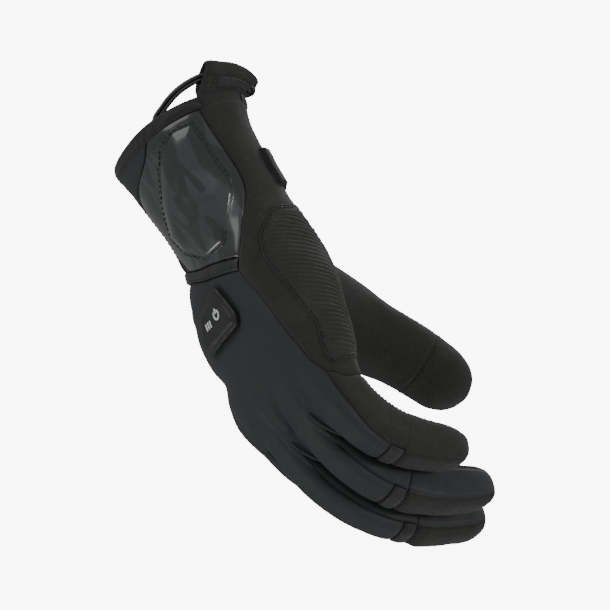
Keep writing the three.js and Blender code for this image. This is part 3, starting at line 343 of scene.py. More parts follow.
# thumb: a tube along its own path, blended out of a loop on the palm
thumbSet = {
    "length": 132, "width": 36, "depth": 33, "side": (0.15, 0.98, 0.1), "start": (0.333, 0.38, 1.125),
    "headings": np.array([[0, 0.72, 0.20, -0.66], [0.3, 0.72, 0.10, -0.68], [0.6, 0.66, 0.02, -0.75],
                          [1, 0.20, -0.06, -1.0]]),
    "taper": np.array([[0, 1.50, 2.05], [0.25, 1.34, 2.05], [0.5, 1.07, 1.24], [0.8, 1.0, 1.0], [1, 0.94, 0.88]]),
    "lift": (1.6, 0.0, 0.2),
    "loop": {"angle": 126, "along": 1.33, "wide": 42, "long": 0.34, "shrink": 0.30, "blend": 0.50},
}
thumbLength = thumbSet["length"]
thumbDome = thumbSet["depth"] * fingerSet["dome"]
thumbWide, thumbDeep = (smoothTable(thumbSet["taper"][:, 0], thumbSet["taper"][:, k]) for k in (1, 2))
thumbSteps = np.linspace(0, 1, 241)
thumbDirs = unit(np.stack([smoothTable(thumbSet["headings"][:, 0], thumbSet["headings"][:, k])(thumbSteps)
                           for k in (1, 2, 3)], -1))
startX, startZ, startA = bodyPath(toDistance(thumbSet["start"][2]))
startOut = thumbSet["start"][1] * palmDepth
thumbRun = np.cumsum((thumbDirs[1:] + thumbDirs[:-1]) / 2 * thumbLength / 240, axis=0)
thumbStart = [startX + startOut * np.cos(startA), thumbSet["start"][0] * palmWidth,
              startZ + startOut * np.sin(startA)]
thumbPlaces = np.vstack([[0, 0, 0], thumbRun]) + thumbStart + thumbSet["lift"]


def thumbCentre(s):
    t = np.clip(np.asarray(s, float) / thumbLength, 0, 1)
    return tuple(np.stack([np.interp(t, thumbSteps, table[:, k]) for k in range(3)], -1)
                 for table in (thumbPlaces, thumbDirs))


def thumbTube(angle, s):
    angle, s = np.broadcast_arrays(np.asarray(angle, float), np.asarray(s, float))
    at, way = thumbCentre(s)
    way = unit(way)
    side = np.array(thumbSet["side"])
    side = unit(side - way * (way @ side)[..., None])
    up = np.cross(side, way)
    q = np.clip((s - (thumbLength - thumbDome)) / thumbDome, 0, 1)
    c, n = superPoint(angle, 2.4)
    half = thumbWide(s / thumbLength) * thumbSet["width"] / 2 * np.maximum(0, 1 - q ** 2.8) ** (1 / 2.3)
    deep = thumbDeep(s / thumbLength) * thumbSet["depth"] / 2 * np.sqrt(1 - q ** 2.4)
    return at + side * (half * c)[..., None] + up * (deep * n)[..., None]


def thumbLoop(angle, scale=1.0):
    l = thumbSet["loop"]
    c, n = superPoint(angle, 2.2)
    return l["angle"] + l["wide"] * scale * c, toDistance(l["along"] + l["long"] * scale * n)


def thumb(angle, s):
    # shrinking loop on the palm, blended into the thumb's tube over its first half
    l = thumbSet["loop"]
    angle, s = np.broadcast_arrays(np.asarray(angle, float), np.asarray(s, float))
    q = np.clip(s / (thumbLength * l["blend"]), 0, 1)
    w = (q * q * (3 - 2 * q))[..., None]
    return body(*thumbLoop(angle, 1 - l["shrink"] * q)) * (1 - w) + thumbTube(angle, s) * w


# borders of the panels, as [angle, along]
def steps(a, b, n):
    return np.linspace(a, b, n + 1)


def line(a, b, n):
    return np.array(a, float) + (np.array(b, float) - a) * np.linspace(0, 1, n + 1)[:, None]


def spread(rows, n):
    # even steps along a broken line, a degree counted as 0.009 of along
    rows = np.array(rows, float)
    run = np.concatenate([[0], np.cumsum(np.hypot(np.diff(rows[:, 0]) * 0.009, np.diff(rows[:, 1])))])
    t = np.linspace(0, run[-1], n + 1)
    return np.stack([np.interp(t, run, rows[:, 0]), np.interp(t, run, rows[:, 1])], -1)


def soften(rows, rounds=None):
    # rounds the corners of a border: each inner point goes to the mean of itself and its neighbours, many times
    rows = rows.copy()
    for _ in range(rounds or fine * fine // 2):
        rows[1:-1] = rows[1:-1] / 2 + (rows[:-2] + rows[2:]) / 4
    return rows


def refine(values):
    values = np.asarray(values, float)
    return np.interp(np.arange((len(values) - 1) * fine + 1) / fine, np.arange(len(values)), values)


def closedLine(corners, n, rounds):
    # closed outline in angle and along, evenly stepped, its corners rounded by repeated averaging
    rows = spread(np.vstack([corners, corners[:1]]), n)[:-1]
    for _ in range(rounds):
        rows = rows / 2 + (np.roll(rows, 1, 0) + np.roll(rows, -1, 0)) / 4
    return np.vstack([rows, rows[:1]])


def coons(top, bottom, left, right):
    # patch between four borders: both ruled surfaces added, the corners' bilinear patch taken away
    v, u = np.linspace(0, 1, len(left))[:, None, None], np.linspace(0, 1, len(top))[None, :, None]
    corners = (1 - v) * ((1 - u) * top[0] + u * top[-1]) + v * ((1 - u) * bottom[0] + u * bottom[-1])
    return (1 - v) * top[None] + v * bottom[None] + (1 - u) * left[:, None] + u * right[:, None] - corners


seams = {
    "hemWidth": 4.4,
    "shieldRight": [[-14, 0.387], [-11.5, 0.617], [-13, 0.769], [-22, 0.881], [-41, 1.06], [-57, 1.212]],
    "shieldLeft": [[-80, 0.169], [-97, 0.221], [-116, 0.267], [-130, 0.348], [-138, 0.52], [-137, 0.732],
                   [-128, 0.904], [-113, 1.043]],
    "stripTop": [[-152, 0.969], [-132, 0.991], [-113, 1.043], [-80, 1.147], [-57, 1.212]],
    "stripLow": [[-152, 1.049], [-114, 1.106], [-85, 1.217], [-62, 1.277]],
    "little": [[1.717, -82], [1.886, -56], [1.962, -34], [2.16, -29], [2.32, -44], [2.40, -52.5], [3, -52]],
    "ulnar": [[-62, 1.277], [-58, 1.36], [-54, 1.446], [-49, 1.56]],
    "gussetLeft": [160, 1.02], "wrapEnd": 2.065,
}
handRows = hand["rows"]
handTop = handRows[0]
topDistance = float(toDistance(handTop))
hemAlong = seams["hemWidth"] / cuffLength
littleXs, littleYs = np.array(seams["little"]).T


def littleSeam(d):
    return np.interp(d, toDistance(littleXs), littleYs)


cuffSteps = 8 * fine                     # steps along the cuff, from the hem to the wrist strip
shieldRight = soften(spread([[-19, hemAlong]] + seams["shieldRight"], cuffSteps))
shieldLeft = soften(spread([[-70, hemAlong]] + seams["shieldLeft"], cuffSteps))
topRows = seams["stripTop"]
gussetBottom = soften(spread(topRows[:3], 4 * fine), 6)
shieldBottom = soften(spread(topRows[2:], 11 * fine), 6)
stripTopLine = np.vstack([gussetBottom, shieldBottom[1:]])
stripLowLine = soften(spread(seams["stripLow"], 15 * fine))
seamAtTop = float(handAngle("little", littleSeam(topDistance)))
ulnarLine = soften(spread(seams["ulnar"] + [[seamAtTop, handTop]], 7 * fine))
outerSeam = line([-152, seams["stripLow"][0][1]], [-152, handTop], 7 * fine)
middleBack, ringBack = (handAngle(name, steps(-145, -35, 4 * fine))[1:] for name in ("middle", "ring"))
littleBackTop = handAngle("little", steps(-145, littleSeam(topDistance), 3 * fine))[1:]
backAngles = np.concatenate([handAngle("index", steps(215, 325, 4 * fine)) - 360, middleBack, ringBack,
                             littleBackTop])
backBottom = np.stack([backAngles, np.full(len(backAngles), handTop)], -1)

littleRows = refine(handRows[:4])
wrapLeft = np.vstack([shieldRight, line(shieldRight[-1], stripLowLine[-1], 2 * fine)[1:], ulnarLine[1:],
                      np.stack([handAngle("little", littleSeam(toDistance(littleRows))), littleRows], -1)[1:]])
wrapLeft[cuffSteps - 4:-3 * fine] = soften(wrapLeft[cuffSteps - 4:-3 * fine], 1)
rightRows = refine(handRows[:4] + [seams["wrapEnd"]])
wrapRight = np.vstack([spread([[50, hemAlong], [56, 1.02]], 7 * fine), line([56, 1.02], [64, handTop], 9 * fine)[1:],
                       np.stack([np.full(len(rightRows), 64.0), rightRows], -1)[1:]])
wrapBottom = soften(spread([wrapLeft[-1], [-11, 1.996], [0, 2.038], [28, 2.06], [64, seams["wrapEnd"]]], 7 * fine), 8)
cuffPalmBottom = line(wrapRight[7 * fine], seams["gussetLeft"], 9 * fine)
palmSpans = (("ring", 35, 145, 3), ("middle", 35, 145, 3), ("index", 35, 145, 3), ("index", 145, 215, 4))
palmParts = [handAngle(name, steps(low, high, n * fine)) for name, low, high, n in palmSpans]
palmBottom = np.concatenate([palmParts[0]] + [part[1:] for part in palmParts[1:]])
gussetTurn = line(seams["gussetLeft"], [208, topRows[0][1]], 4 * fine)
outerLine = np.vstack([line([208, topRows[0][1]], [208, seams["stripLow"][0][1]], 2 * fine),
                       line([208, seams["stripLow"][0][1]], [208, handTop], 7 * fine)[1:]])

fingerRows = {}
for f in fingers.values():
    band = f.start + f.band * f.length
    count = {"little": 4, "ring": 6, "middle": 7, "index": 6}[f.name]
    fingerRows[f.name] = np.concatenate([toDistance(handRows[:-1]),
                                         steps(float(toDistance(handRows[-1])), band, count),
                                         [band + fingerSet["bandWidth"]]])


# panels: welded grids of points with a raised or lowered face
class Panel:
    # grids that share points; each keeps its place on the skin (angle, distance) as the piece's UV

    def __init__(self):
        self.points, self.uv, self.quads, self.count = [], [], [], 0

    def grid(self, points, angle, distance, inside):
        nr, nc = points.shape[:2]
        ids = np.arange(nr * nc).reshape(nr, nc)
        quads = np.stack([ids[:-1, :-1], ids[1:, :-1], ids[1:, 1:], ids[:-1, 1:]], -1).reshape(-1, 4)
        p, q = points.reshape(-1, 3), np.broadcast_to(inside, points.shape).reshape(-1, 3)
        n = np.cross(p[quads[:, 2]] - p[quads[:, 0]], p[quads[:, 3]] - p[quads[:, 1]])
        if (n * (p[quads].mean(1) - q[quads].mean(1))).sum() < 0:
            quads = quads[:, ::-1]
        self.points.append(p)
        self.uv.append(np.stack(np.broadcast_arrays(angle, distance), -1).reshape(-1, 2))
        self.quads.append(quads + self.count)
        self.count += len(p)
        return self

    def lay(self, rows):
        d = toDistance(rows[..., 1])
        return self.grid(skin(rows[..., 0], d), rows[..., 0], d, bodyCentre(d))

    def ray(self, name, rows, angles):
        d = np.broadcast_to(rows[:, None], angles.shape)
        return self.grid(ray(name, angles, d), angles, d, fingers[name].centre(d)[0])

    def weld(self, hole=None):
        raw, uv, quads = np.vstack(self.points), np.vstack(self.uv), np.vstack(self.quads)
        _, first, back = np.unique(np.round(raw * 250 + 0.137).astype(np.int64), axis=0, return_index=True,
                                   return_inverse=True)
        back = back.ravel()
        self.p, self.faces, self.faceUv = raw[first], back[quads], uv[quads]
        if hole is not None:
            keep = ~hole(uv)[quads].all(1)
            self.faces, self.faceUv = self.faces[keep], self.faceUv[keep]
            used, back = np.unique(self.faces, return_inverse=True)
            self.p, self.faces, first = self.p[used], back.reshape(self.faces.shape), first[used]
        self.at = uv[first]
        a, b = self.faces.ravel(), np.roll(self.faces, -1, axis=1).ravel()
        real = a != b
        a, b, n = a[real], b[real], len(self.p)
        alone = ~np.isin(a * n + b, b * n + a)
        self.edge = np.unique(np.concatenate([a[alone], b[alone]]))
        self.dist = nearest(self.p, self.p[self.edge])[0] if len(self.edge) else np.full(n, 99.0)
        self.inner = self.dist
        self.n = self.normals()
        return self

    def unsew(self, mask):
        # borders where the cloth runs on into the next panel: they keep no seam groove
        sewn = self.edge[~mask(self.at[self.edge])]
        self.dist = nearest(self.p, self.p[sewn])[0] if len(sewn) else np.full(len(self.p), 99.0)
        return self

    def normals(self):
        f, p = self.faces, self.p
        n = np.cross(p[f[:, 2]] - p[f[:, 0]], p[f[:, 3]] - p[f[:, 1]])
        total = np.zeros_like(p)
        for c in range(4):
            for axis in range(3):
                total[:, axis] += np.bincount(f[:, c], n[:, axis], len(p))
        return unit(total)

    def lift(self, height):
        self.p = self.p + self.n * np.broadcast_to(height, len(self.p))[:, None]
        self.n = self.normals()
        return self


def addObject(name, points, faces, faceUv, material):
    mesh = bpy.data.meshes.new(name)
    mesh.from_pydata((points / 1000).tolist(), [], faces)
    if faceUv is not None:
        layer = mesh.uv_layers.new(name="UVMap")
        layer.data.foreach_set("uv", np.ascontiguousarray(faceUv, dtype=np.float32).ravel())
    mesh.polygons.foreach_set("use_smooth", np.full(len(mesh.polygons), True))
    mesh.validate()
    obj = bpy.data.objects.new(name, mesh)
    bpy.context.collection.objects.link(obj)
    mesh.materials.append(material)
    return obj


def trimFaces(faces, faceUv):
    # quads with a doubled corner become triangles; each keeps its UVs
    same = faces == np.roll(faces, -1, axis=1)
    whole = ~same.any(1)
    lists, uvs = faces[whole].tolist(), [faceUv[whole].reshape(-1, 2)]
    for c in range(4):
        part = same[:, c] & (same.sum(1) == 1)
        keep = [i for i in range(4) if i != c]
        lists += faces[part][:, keep].tolist()
        uvs.append(faceUv[part][:, keep].reshape(-1, 2))
    return lists, np.vstack(uvs)


def panelObject(name, panel, material, node, thick=1.1):
    faces, uv = trimFaces(panel.faces, panel.faceUv)
    uv = uv * [0.001, 0.001]
    obj = addObject(name, panel.p, faces, uv, material)
    if thick:
        solid = obj.modifiers.new("thickness", "SOLIDIFY")
        solid.thickness, solid.offset, solid.use_even_offset = thick / 1000, -1, False
    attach(obj, "root")
    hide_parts(*([node] if isinstance(node, str) else node))
    return obj


print("shapes ready")


# materials
class Value:
    # wraps a socket so that sums and products of values add their Math nodes

    def __init__(self, look, socket):
        self.look, self.socket = look, socket

    def _math(self, operation, other):
        return self.look.node("ShaderNodeMath", {"operation": operation}, {0: self, 1: other})

    def __add__(self, other): return self._math("ADD", other)
    def __sub__(self, other): return self._math("SUBTRACT", other)
    def __mul__(self, other): return self._math("MULTIPLY", other)


def linear(rgb, gain=1.0):
    # screen colour 0..1, times gain, to linear light
    return tuple(c / 12.92 if c <= 0.04045 else ((c + 0.055) / 1.055) ** 2.4
                 for c in (gain * c for c in rgb)) + (1.0,)


class Look:
    def __init__(self, name):
        self.material = bpy.data.materials.new(name)
        self.material.use_nodes = True
        self.tree = self.material.node_tree
        self.shader = self.tree.nodes["Principled BSDF"]
        self.coordinates = self.node("ShaderNodeTexCoord", {}, {}, "Object")

    def node(self, kind, settings, inputs, output=0):
        made = self.tree.nodes.new(kind)
        for name, value in settings.items():
            setattr(made, name, value)
        for name, value in inputs.items():
            self.put(made.inputs[name], value)
        return Value(self, made.outputs[output])

    def put(self, socket, value):
        if isinstance(value, Value):
            self.tree.links.new(value.socket, socket)
        else:
            socket.default_value = value

    def noise(self, scale, detail=3, rough=0.5, stretch=None):
        # noise with cells of about 1/scale metres, pulled long by stretch
        at = self.coordinates
        if stretch:
            at = self.node("ShaderNodeMapping", {}, {"Vector": at, "Scale": stretch})
        return self.node("ShaderNodeTexNoise", {}, {"Vector": at, "Scale": scale, "Detail": detail,
                                                    "Roughness": rough})

    def bands(self, scale, **more):
        # slanting bands from 0 to 1
        kind = {"wave_type": "BANDS", "bands_direction": "DIAGONAL"}
        return self.node("ShaderNodeTexWave", kind, {"Vector": self.coordinates, "Scale": scale, **more}, "Fac")

    def span(self, value, low, high, a=0.0, b=1.0):
        # value from low..high to a..b along an S curve, held at the ends
        return self.node("ShaderNodeMapRange", {"interpolation_type": "SMOOTHSTEP", "clamp": True},
                         {"Value": value, "From Min": low, "From Max": high, "To Min": a, "To Max": b})

    def blend(self, share, a, b):
        return self.node("ShaderNodeMix", {"data_type": "RGBA"}, {0: share, 6: a, 7: b}, 2)

    def bump(self, height, distance, strength, below=None):
        inputs = {"Height": height, "Distance": distance, "Strength": strength}
        if below is not None:
            inputs["Normal"] = below
        return self.node("ShaderNodeBump", {}, inputs)

    def finish(self, **inputs):
        for name, value in inputs.items():
            self.put(self.shader.inputs[name.replace("_", " ")], value)
        return self.material


def softshellLook(colour, deep, fibreColour):
    # close matt stretch cloth: very fine speckled knit over a faint mottle
    look = Look("softshell")
    knit = look.noise(1500, 2, 0.5)
    fibre = look.noise(2600, 2, 0.6, (1.0, 1.0, 0.4))
    mottle = look.noise(70, 3, 0.55)
    tone = look.blend(look.span(knit * 0.5 + mottle * 0.6, 0.35, 0.75), linear(deep), linear(colour))
    tone = look.blend(look.span(fibre, 0.68, 0.78, 0.0, 0.25), tone, linear(fibreColour))
    normal = look.bump(knit + fibre * 0.5, 0.00008, 0.45, look.bump(mottle, 0.0003, 0.3))
    return look.finish(Base_Color=tone, Roughness=look.span(mottle, 0.3, 0.7, 0.66, 0.80), Normal=normal,
                       Sheen_Weight=0.03, Sheen_Roughness=0.5)


def suedeLook(name, colour, deep, warm):
    # short nap: fine pebbled grain, paler brushed patches and scattered light fibres
    look = Look(name)
    pebble = look.node("ShaderNodeTexVoronoi", {"feature": "SMOOTH_F1"},
                       {"Vector": look.coordinates, "Scale": 780.0, "Smoothness": 0.7}, "Distance")
    grain, brushed = look.noise(1150, 5, 0.7), look.noise(60, 4, 0.62)
    fibres = look.noise(760, 2, 0.5, (1.0, 1.0, 0.36))
    tone = look.blend(look.span(grain * 0.7 + brushed * 0.5, 0.38, 0.82), linear(deep), linear(colour))
    tone = look.blend(look.span(brushed, 0.52, 0.75, 0.0, 0.55), tone, linear(warm))
    tone = look.blend(look.span(fibres, 0.66, 0.75, 0.0, 0.5), tone, linear(warm, 1.5))
    normal = look.bump(grain * 0.7 - pebble * 0.5 + fibres * 0.3, 0.00022, 0.75, look.bump(brushed, 0.0006, 0.3))
    return look.finish(Base_Color=tone, Roughness=look.span(brushed, 0.3, 0.7, 0.84, 0.96), Normal=normal,
                       Sheen_Weight=0.04, Sheen_Roughness=0.6)


def filmLook(name, dark, base, pale, rough, coat):
    # coated film: long soft blotches in close greys under a gloss that breaks up in fine ripples
    look = Look(name)
    tall = look.node("ShaderNodeMapping", {}, {"Vector": look.coordinates, "Scale": (1.0, 1.0, 0.42),
                                               "Rotation": (0.0, 0.35, 0.0)})
    blotch = look.node("ShaderNodeTexNoise", {}, {"Vector": tall, "Scale": 62.0, "Detail": 0.5, "Roughness": 0.4,
                                                  "Distortion": 1.3})
    cloud, ripple, grain = look.noise(38, 1, 0.5), look.noise(240, 3, 0.55), look.noise(1500, 3, 0.6)
    spot = look.span(blotch, 0.485, 0.52)
    tone = look.blend(spot, linear(base), linear(dark))
    tone = look.blend(look.span(cloud, 0.50, 0.62), tone, look.blend(spot, linear(pale), linear(dark)))
    normal = look.bump(ripple + grain * 0.25, 0.0002, 0.3, look.bump(cloud, 0.0006, 0.25))
    return look.finish(Base_Color=tone, Roughness=look.span(ripple, 0.3, 0.7, *rough), Normal=normal,
                       Coat_Weight=coat, Coat_Roughness=0.17, Coat_IOR=1.75)


def ribbonLook(name, colour, pitch):
    # woven ribbon: fine ridges across, pitch metres apart, with a faint fuzz
    look = Look(name)
    ridge = look.bands(0.16 / pitch, Distortion=0.8, Detail=2.0, **{"Detail Scale": 3.0})
    fuzz = look.noise(1300, 3, 0.6)
    tone = look.blend(look.span(ridge * 0.5 + fuzz * 0.6, 0.3, 0.85), linear(colour, 0.62), linear(colour))
    return look.finish(Base_Color=tone, Roughness=look.span(fuzz, 0.3, 0.7, 0.6, 0.8),
                       Normal=look.bump(ridge * 0.6 + fuzz * 0.5, 0.00018, 0.6), Sheen_Weight=0.08)


def rubberLook(name, colour, rough):
    # smooth moulded rubber or jacket: fine grain, cloudy tone
    look = Look(name)
    grain, cloud = look.noise(2200, 3, 0.6), look.noise(140, 3, 0.5)
    tone = look.blend(look.span(cloud, 0.35, 0.7), linear(colour, 0.8), linear(colour))
    return look.finish(Base_Color=tone, Roughness=look.span(cloud, 0.3, 0.7, rough - 0.05, rough + 0.08),
                       Normal=look.bump(grain, 0.00008, 0.5))


def threadLook(dark, pale):
    look = Look("sewing_thread")
    twist = look.bands(420.0, Distortion=1.0)
    return look.finish(Base_Color=look.blend(twist, linear(dark), linear(pale)),
                       Roughness=look.span(twist, 0.0, 1.0, 0.42, 0.6),
                       Normal=look.bump(twist, 0.0001, 0.6))


def printLook(colour, worn):
    look = Look("print")
    speck = look.noise(2600, 3, 0.6)
    tone = look.blend(look.span(speck, 0.62, 0.72, 0.0, 0.35), linear(colour), linear(worn))
    return look.finish(Base_Color=tone, Roughness=look.span(speck, 0.3, 0.7, 0.4, 0.55))


softshell = softshellLook((0.150, 0.160, 0.170), (0.118, 0.126, 0.134), (0.24, 0.25, 0.26))
suede = suedeLook("suede", (0.158, 0.156, 0.146), (0.100, 0.099, 0.093), (0.192, 0.184, 0.165))
# darker copy of the suede: painted shade, standing in for the shadow that lies over the thumb
thumbSuedePaintedShade = suedeLook("thumb_suede_painted_shade", (0.142, 0.137, 0.125), (0.088, 0.086, 0.080), (0.170, 0.160, 0.142))
# paler copy of the suede: painted light, standing in for the stronger light on the grip patch at the heel of the hand
patchSuedePaintedLight = suedeLook("patch_suede_painted_light", (0.182, 0.180, 0.168), (0.116, 0.115, 0.107), (0.220, 0.211, 0.190))
film = filmLook("gloss_film", (0.138, 0.145, 0.151), (0.196, 0.204, 0.211), (0.218, 0.226, 0.233), (0.26, 0.38), 0.5)
stripFilm = filmLook("strip_film", (0.115, 0.12, 0.126), (0.128, 0.134, 0.141), (0.14, 0.146, 0.152), (0.42, 0.55),
                     0.1)
edging = ribbonLook("edging", (0.120, 0.124, 0.130), 0.0011)
labelCloth = ribbonLook("label", (0.115, 0.116, 0.118), 0.0008)
buttonRubber = rubberLook("button_rubber", (0.142, 0.147, 0.149), 0.46)
tabRubber = rubberLook("tab_rubber", (0.052, 0.054, 0.057), 0.72)
jacket = rubberLook("lead_jacket", (0.26, 0.265, 0.27), 0.32)
thread = threadLook((0.05, 0.051, 0.053), (0.120, 0.122, 0.125))
marks = printLook((0.86, 0.87, 0.88), (0.6, 0.61, 0.62))
print("materials ready")

# cloth surface: seams drawn in, gathers beside them, soft wrinkles, folds
cloth = {"seamDepth": 0.75, "seamWidth": 1.0, "puff": 0.30, "puffWidth": 5.0, "gather": 0.22, "gatherCell": 3.6,
         "gatherReach": 5.5, "calmEdge": 3.2}


def skinAt(angle, along):
    return skin(np.array([float(angle)]), np.array([float(toDistance(along))]))[0]


def foldLine(p, a, b, width, depth):
    # a crease: depth at the segment from a to b falls off as a bell, with a low ridge on both sides, fading at
    # its ends
    ab = b - a
    t = ((p - a) @ ab) / (ab @ ab)
    away = np.linalg.norm(p - (a + np.clip(t, 0, 1)[:, None] * ab), axis=1)
    fade = smoothStep(t, -0.15, 0.25) * (1 - smoothStep(t, 0.7, 1.15))
    return fade * depth * (0.55 * bell(away - 2.1 * width, width) - bell(away, width))


# folds beside each finger root (turn, reach towards the wrist, depth): on the back, on the palm
rootFolds = (((-6, 0.08, 0.3), (2, 0.11, 0.85), (9, 0.07, 0.3)), ((-6, 0.16, 0.5), (7, 0.20, 0.6)))
# folds across the wrist, the heel of the hand, the knuckles and the cuff: angle and along of both ends, width, depth
handFolds = (
    (-44, 1.30, -20, 1.22, 1.9, 0.5), (-8, 1.08, 22, 1.02, 2.2, 0.55), (-2, 1.16, 30, 1.12, 1.8, 0.4),
    (70, 1.12, 112, 1.05, 2.2, 0.6),
    (75, 1.62, 110, 1.50, 2.4, 0.8), (66, 1.86, 112, 1.90, 2.2, 0.7), (64, 1.45, 88, 1.22, 2.2, 0.6),
    (-100, 1.93, -128, 1.90, 1.8, 0.42),
    (-68, 1.80, -92, 1.87, 1.8, 0.32), (-150, 1.25, -120, 1.18, 2.0, 0.4), (150, 1.75, 176, 1.62, 2.2, 0.55),
    (-160, 1.40, -176, 1.22, 2.2, 0.5), (-24, 1.62, -4, 1.70, 1.6, 0.35), (-26, 1.78, -2, 1.84, 1.6, 0.4),
    (58, 0.30, 96, 0.36, 2.4, 0.45), (60, 0.62, 118, 0.70, 2.6, 0.5), (126, 0.55, 158, 0.42, 2.4, 0.45))
folds = [(skinAt(a, c), skinAt(b, d), width, depth) for a, c, b, d, width, depth in handFolds]
for angle, along, *_ in slits.values():
    for side, past, width, rows in ((-1, 0.03, 1.5, rootFolds[0]), (1, 0.02, 1.4, rootFolds[1])):
        for turn, reach, depth in rows:
            folds.append((skinAt(side * angle + turn, along - reach), skinAt(side * angle, along + past), width,
                          depth))


# creases across the inner bend of a finger: share of its length, depth
fingerFolds = ((0.16, 0.55), (0.22, 0.35), (0.40, 0.75), (0.46, 0.45), (0.68, 0.7), (0.73, 0.35))


def fingerCreases(name, p):
    f = fingers[name]
    total = np.zeros(len(p))
    for share, depth in fingerFolds:
        d = f.start + share * f.length
        a, b = f.point(np.array([30.0, 150.0]), np.array([d, d + 1.2]))
        total += foldLine(p, a, b, 1.35, depth)
    return total


def groove(dist, depth, width):
    return -depth * bell(dist, width)


def clothRelief(panel, wrinkle=0.42, cell=17.0, fineCell=6.2, seed=3, creases=()):
    # height over the smooth skin: drawn in at the border, puffed a little beside it, gathered, wrinkled and
    # folded inside
    p, dist = panel.p, panel.dist
    inside = 1 - bell(panel.inner, cloth["calmEdge"])
    height = groove(dist, cloth["seamDepth"], cloth["seamWidth"])
    height += cloth["puff"] * bell(dist - cloth["puffWidth"], cloth["puffWidth"]) * inside
    height += cloth["gather"] * noise(p, cloth["gatherCell"], seed) * bell(dist, cloth["gatherReach"]) * inside
    broad = noise(p, cell, seed + 1) + 0.45 * noise(p, cell / 2, seed + 4)
    broad = broad + 0.26 * noise(p, fineCell, seed + 2) + 0.10 * noise(p, fineCell / 2.3, seed + 5)
    height += wrinkle * inside * broad
    low, high = p.min(0) - 6, p.max(0) + 6
    for a, b, width, depth in folds:
        if (np.minimum(a, b) < high).all() and (np.maximum(a, b) > low).all():
            height += inside * foldLine(p, a, b, width, depth)
    for name in creases:
        height += inside * fingerCreases(name, p)
    return height


# shell panels
print("cutting panels")
panels = {}


def columns(name, part):
    spans = {"back": (215, 325, 4) if name == "index" else (-145, -35, 3 if name == "little" else 4),
             "palm": (35, 145, 3), "outer": (145, 215, 4), "low": (-35, 35, 3), "high": (145, 215, 3)}
    a, b, n = spans[part]
    return steps(a, b, n * fine)


def littleBack(d):
    return -145 + (littleSeam(d) + 145)[:, None] * np.linspace(0, 1, 3 * fine + 1)


def backGrid(name, rows):
    return littleBack(rows) if name == "little" else np.broadcast_to(columns(name, "back"), (len(rows), 4 * fine + 1))


shield = Panel().lay(coons(line(shieldLeft[0], shieldRight[0], 11 * fine), shieldBottom, shieldLeft,
                           shieldRight)).weld()
panels["cuff_shield"] = shield.lift(clothRelief(shield, 0.30, 15, 8, 11))
strip = Panel().lay(coons(stripTopLine, stripLowLine, line(stripTopLine[0], stripLowLine[0], 2 * fine),
                          line(stripTopLine[-1], stripLowLine[-1], 2 * fine))).weld()
panels["wrist_strip"] = strip.lift(-0.5 + 1.25 * (1 - bell(strip.dist, 0.9)) + groove(strip.dist - 1.9, 0.22, 0.5)
                                   + 0.15 * noise(strip.p, 9, 5))
back = Panel().lay(coons(stripLowLine, backBottom, outerSeam, ulnarLine))
for name in fingerNames:
    rows = refine(fingerRows[name][:-1])
    back.ray(name, rows, backGrid(name, rows))
back.weld()


def handOf(panel, name=None):
    # hand angle of every point; past the first finger row the stored angle counts round its finger
    a = panel.at[:, 0]
    turned = [wrapAngle(handAngle(n, (a + 360) % 360 if n == "index" else a)) for n in fingerNames]
    finger = np.digitize(panel.p[:, 1], [-palmWidth / 4, 0, palmWidth / 4])
    if name:
        finger[:] = fingerNames.index(name)
    return np.where(panel.at[:, 1] > topDistance, np.choose(finger, turned), a)


# swells and hollows of the worn hand over the smooth skin: angle, along, reach across, reach along, height
handSwells = (
    (-132, 1.24, 30, 0.09, 1.3), (-146, 1.40, 26, 0.10, 1.8), (-146, 1.655, 26, 0.07, -3.2),
    (-146, 1.87, 26, 0.08, 1.1), (-146, 2.05, 24, 0.07, -0.9), (40, 2.03, 30, 0.14, -2.8))


def handShape(angle, d):
    return sum(height * swell(angle, d, at, along, wide, long) for at, along, wide, long, height in handSwells)


buttonSet = {"rim": 2.5, "face": 2.93, "faceAt": (-90, 1.42),
             "outline": [[-85, 1.27], [-76, 1.475], [-79, 1.53], [-112, 1.55], [-118, 1.50], [-112, 1.36],
                         [-107, 1.315], [-91, 1.272]]}
buttonOutline = closedLine(np.array(buttonSet["outline"], float), 32 * fine, 2 * fine)
buttonCurve = skin(buttonOutline[:, 0], toDistance(buttonOutline[:, 1]))
outerEdge = np.isclose(back.at[back.edge, 0], -152) | np.isclose(back.at[back.edge, 0], 215)
fromOthers = nearest(back.p, back.p[back.edge[~outerEdge]])[0]
backHeight = clothRelief(back, 0.20, 26, 9, 21) + handShape(handOf(back), back.at[:, 1]) * (1 - bell(fromOthers, 5))
panels["back_panel"] = back.lift(backHeight + groove(nearest(back.p, buttonCurve)[0] - 0.3, 0.6, 1.0))
wrap = Panel().lay(coons(line(wrapLeft[0], wrapRight[0], 7 * fine), wrapBottom, wrapLeft, wrapRight)).weld()
wrap.unsew(lambda at: (at[:, 1] < seams["hemWidth"] + 0.1) & (at[:, 0] > -15.5) & (at[:, 0] < 40))
panels["side_wrap"] = wrap.lift(clothRelief(wrap, 0.40, 14, 5.5, 31) + handShape(wrap.at[:, 0], wrap.at[:, 1]))

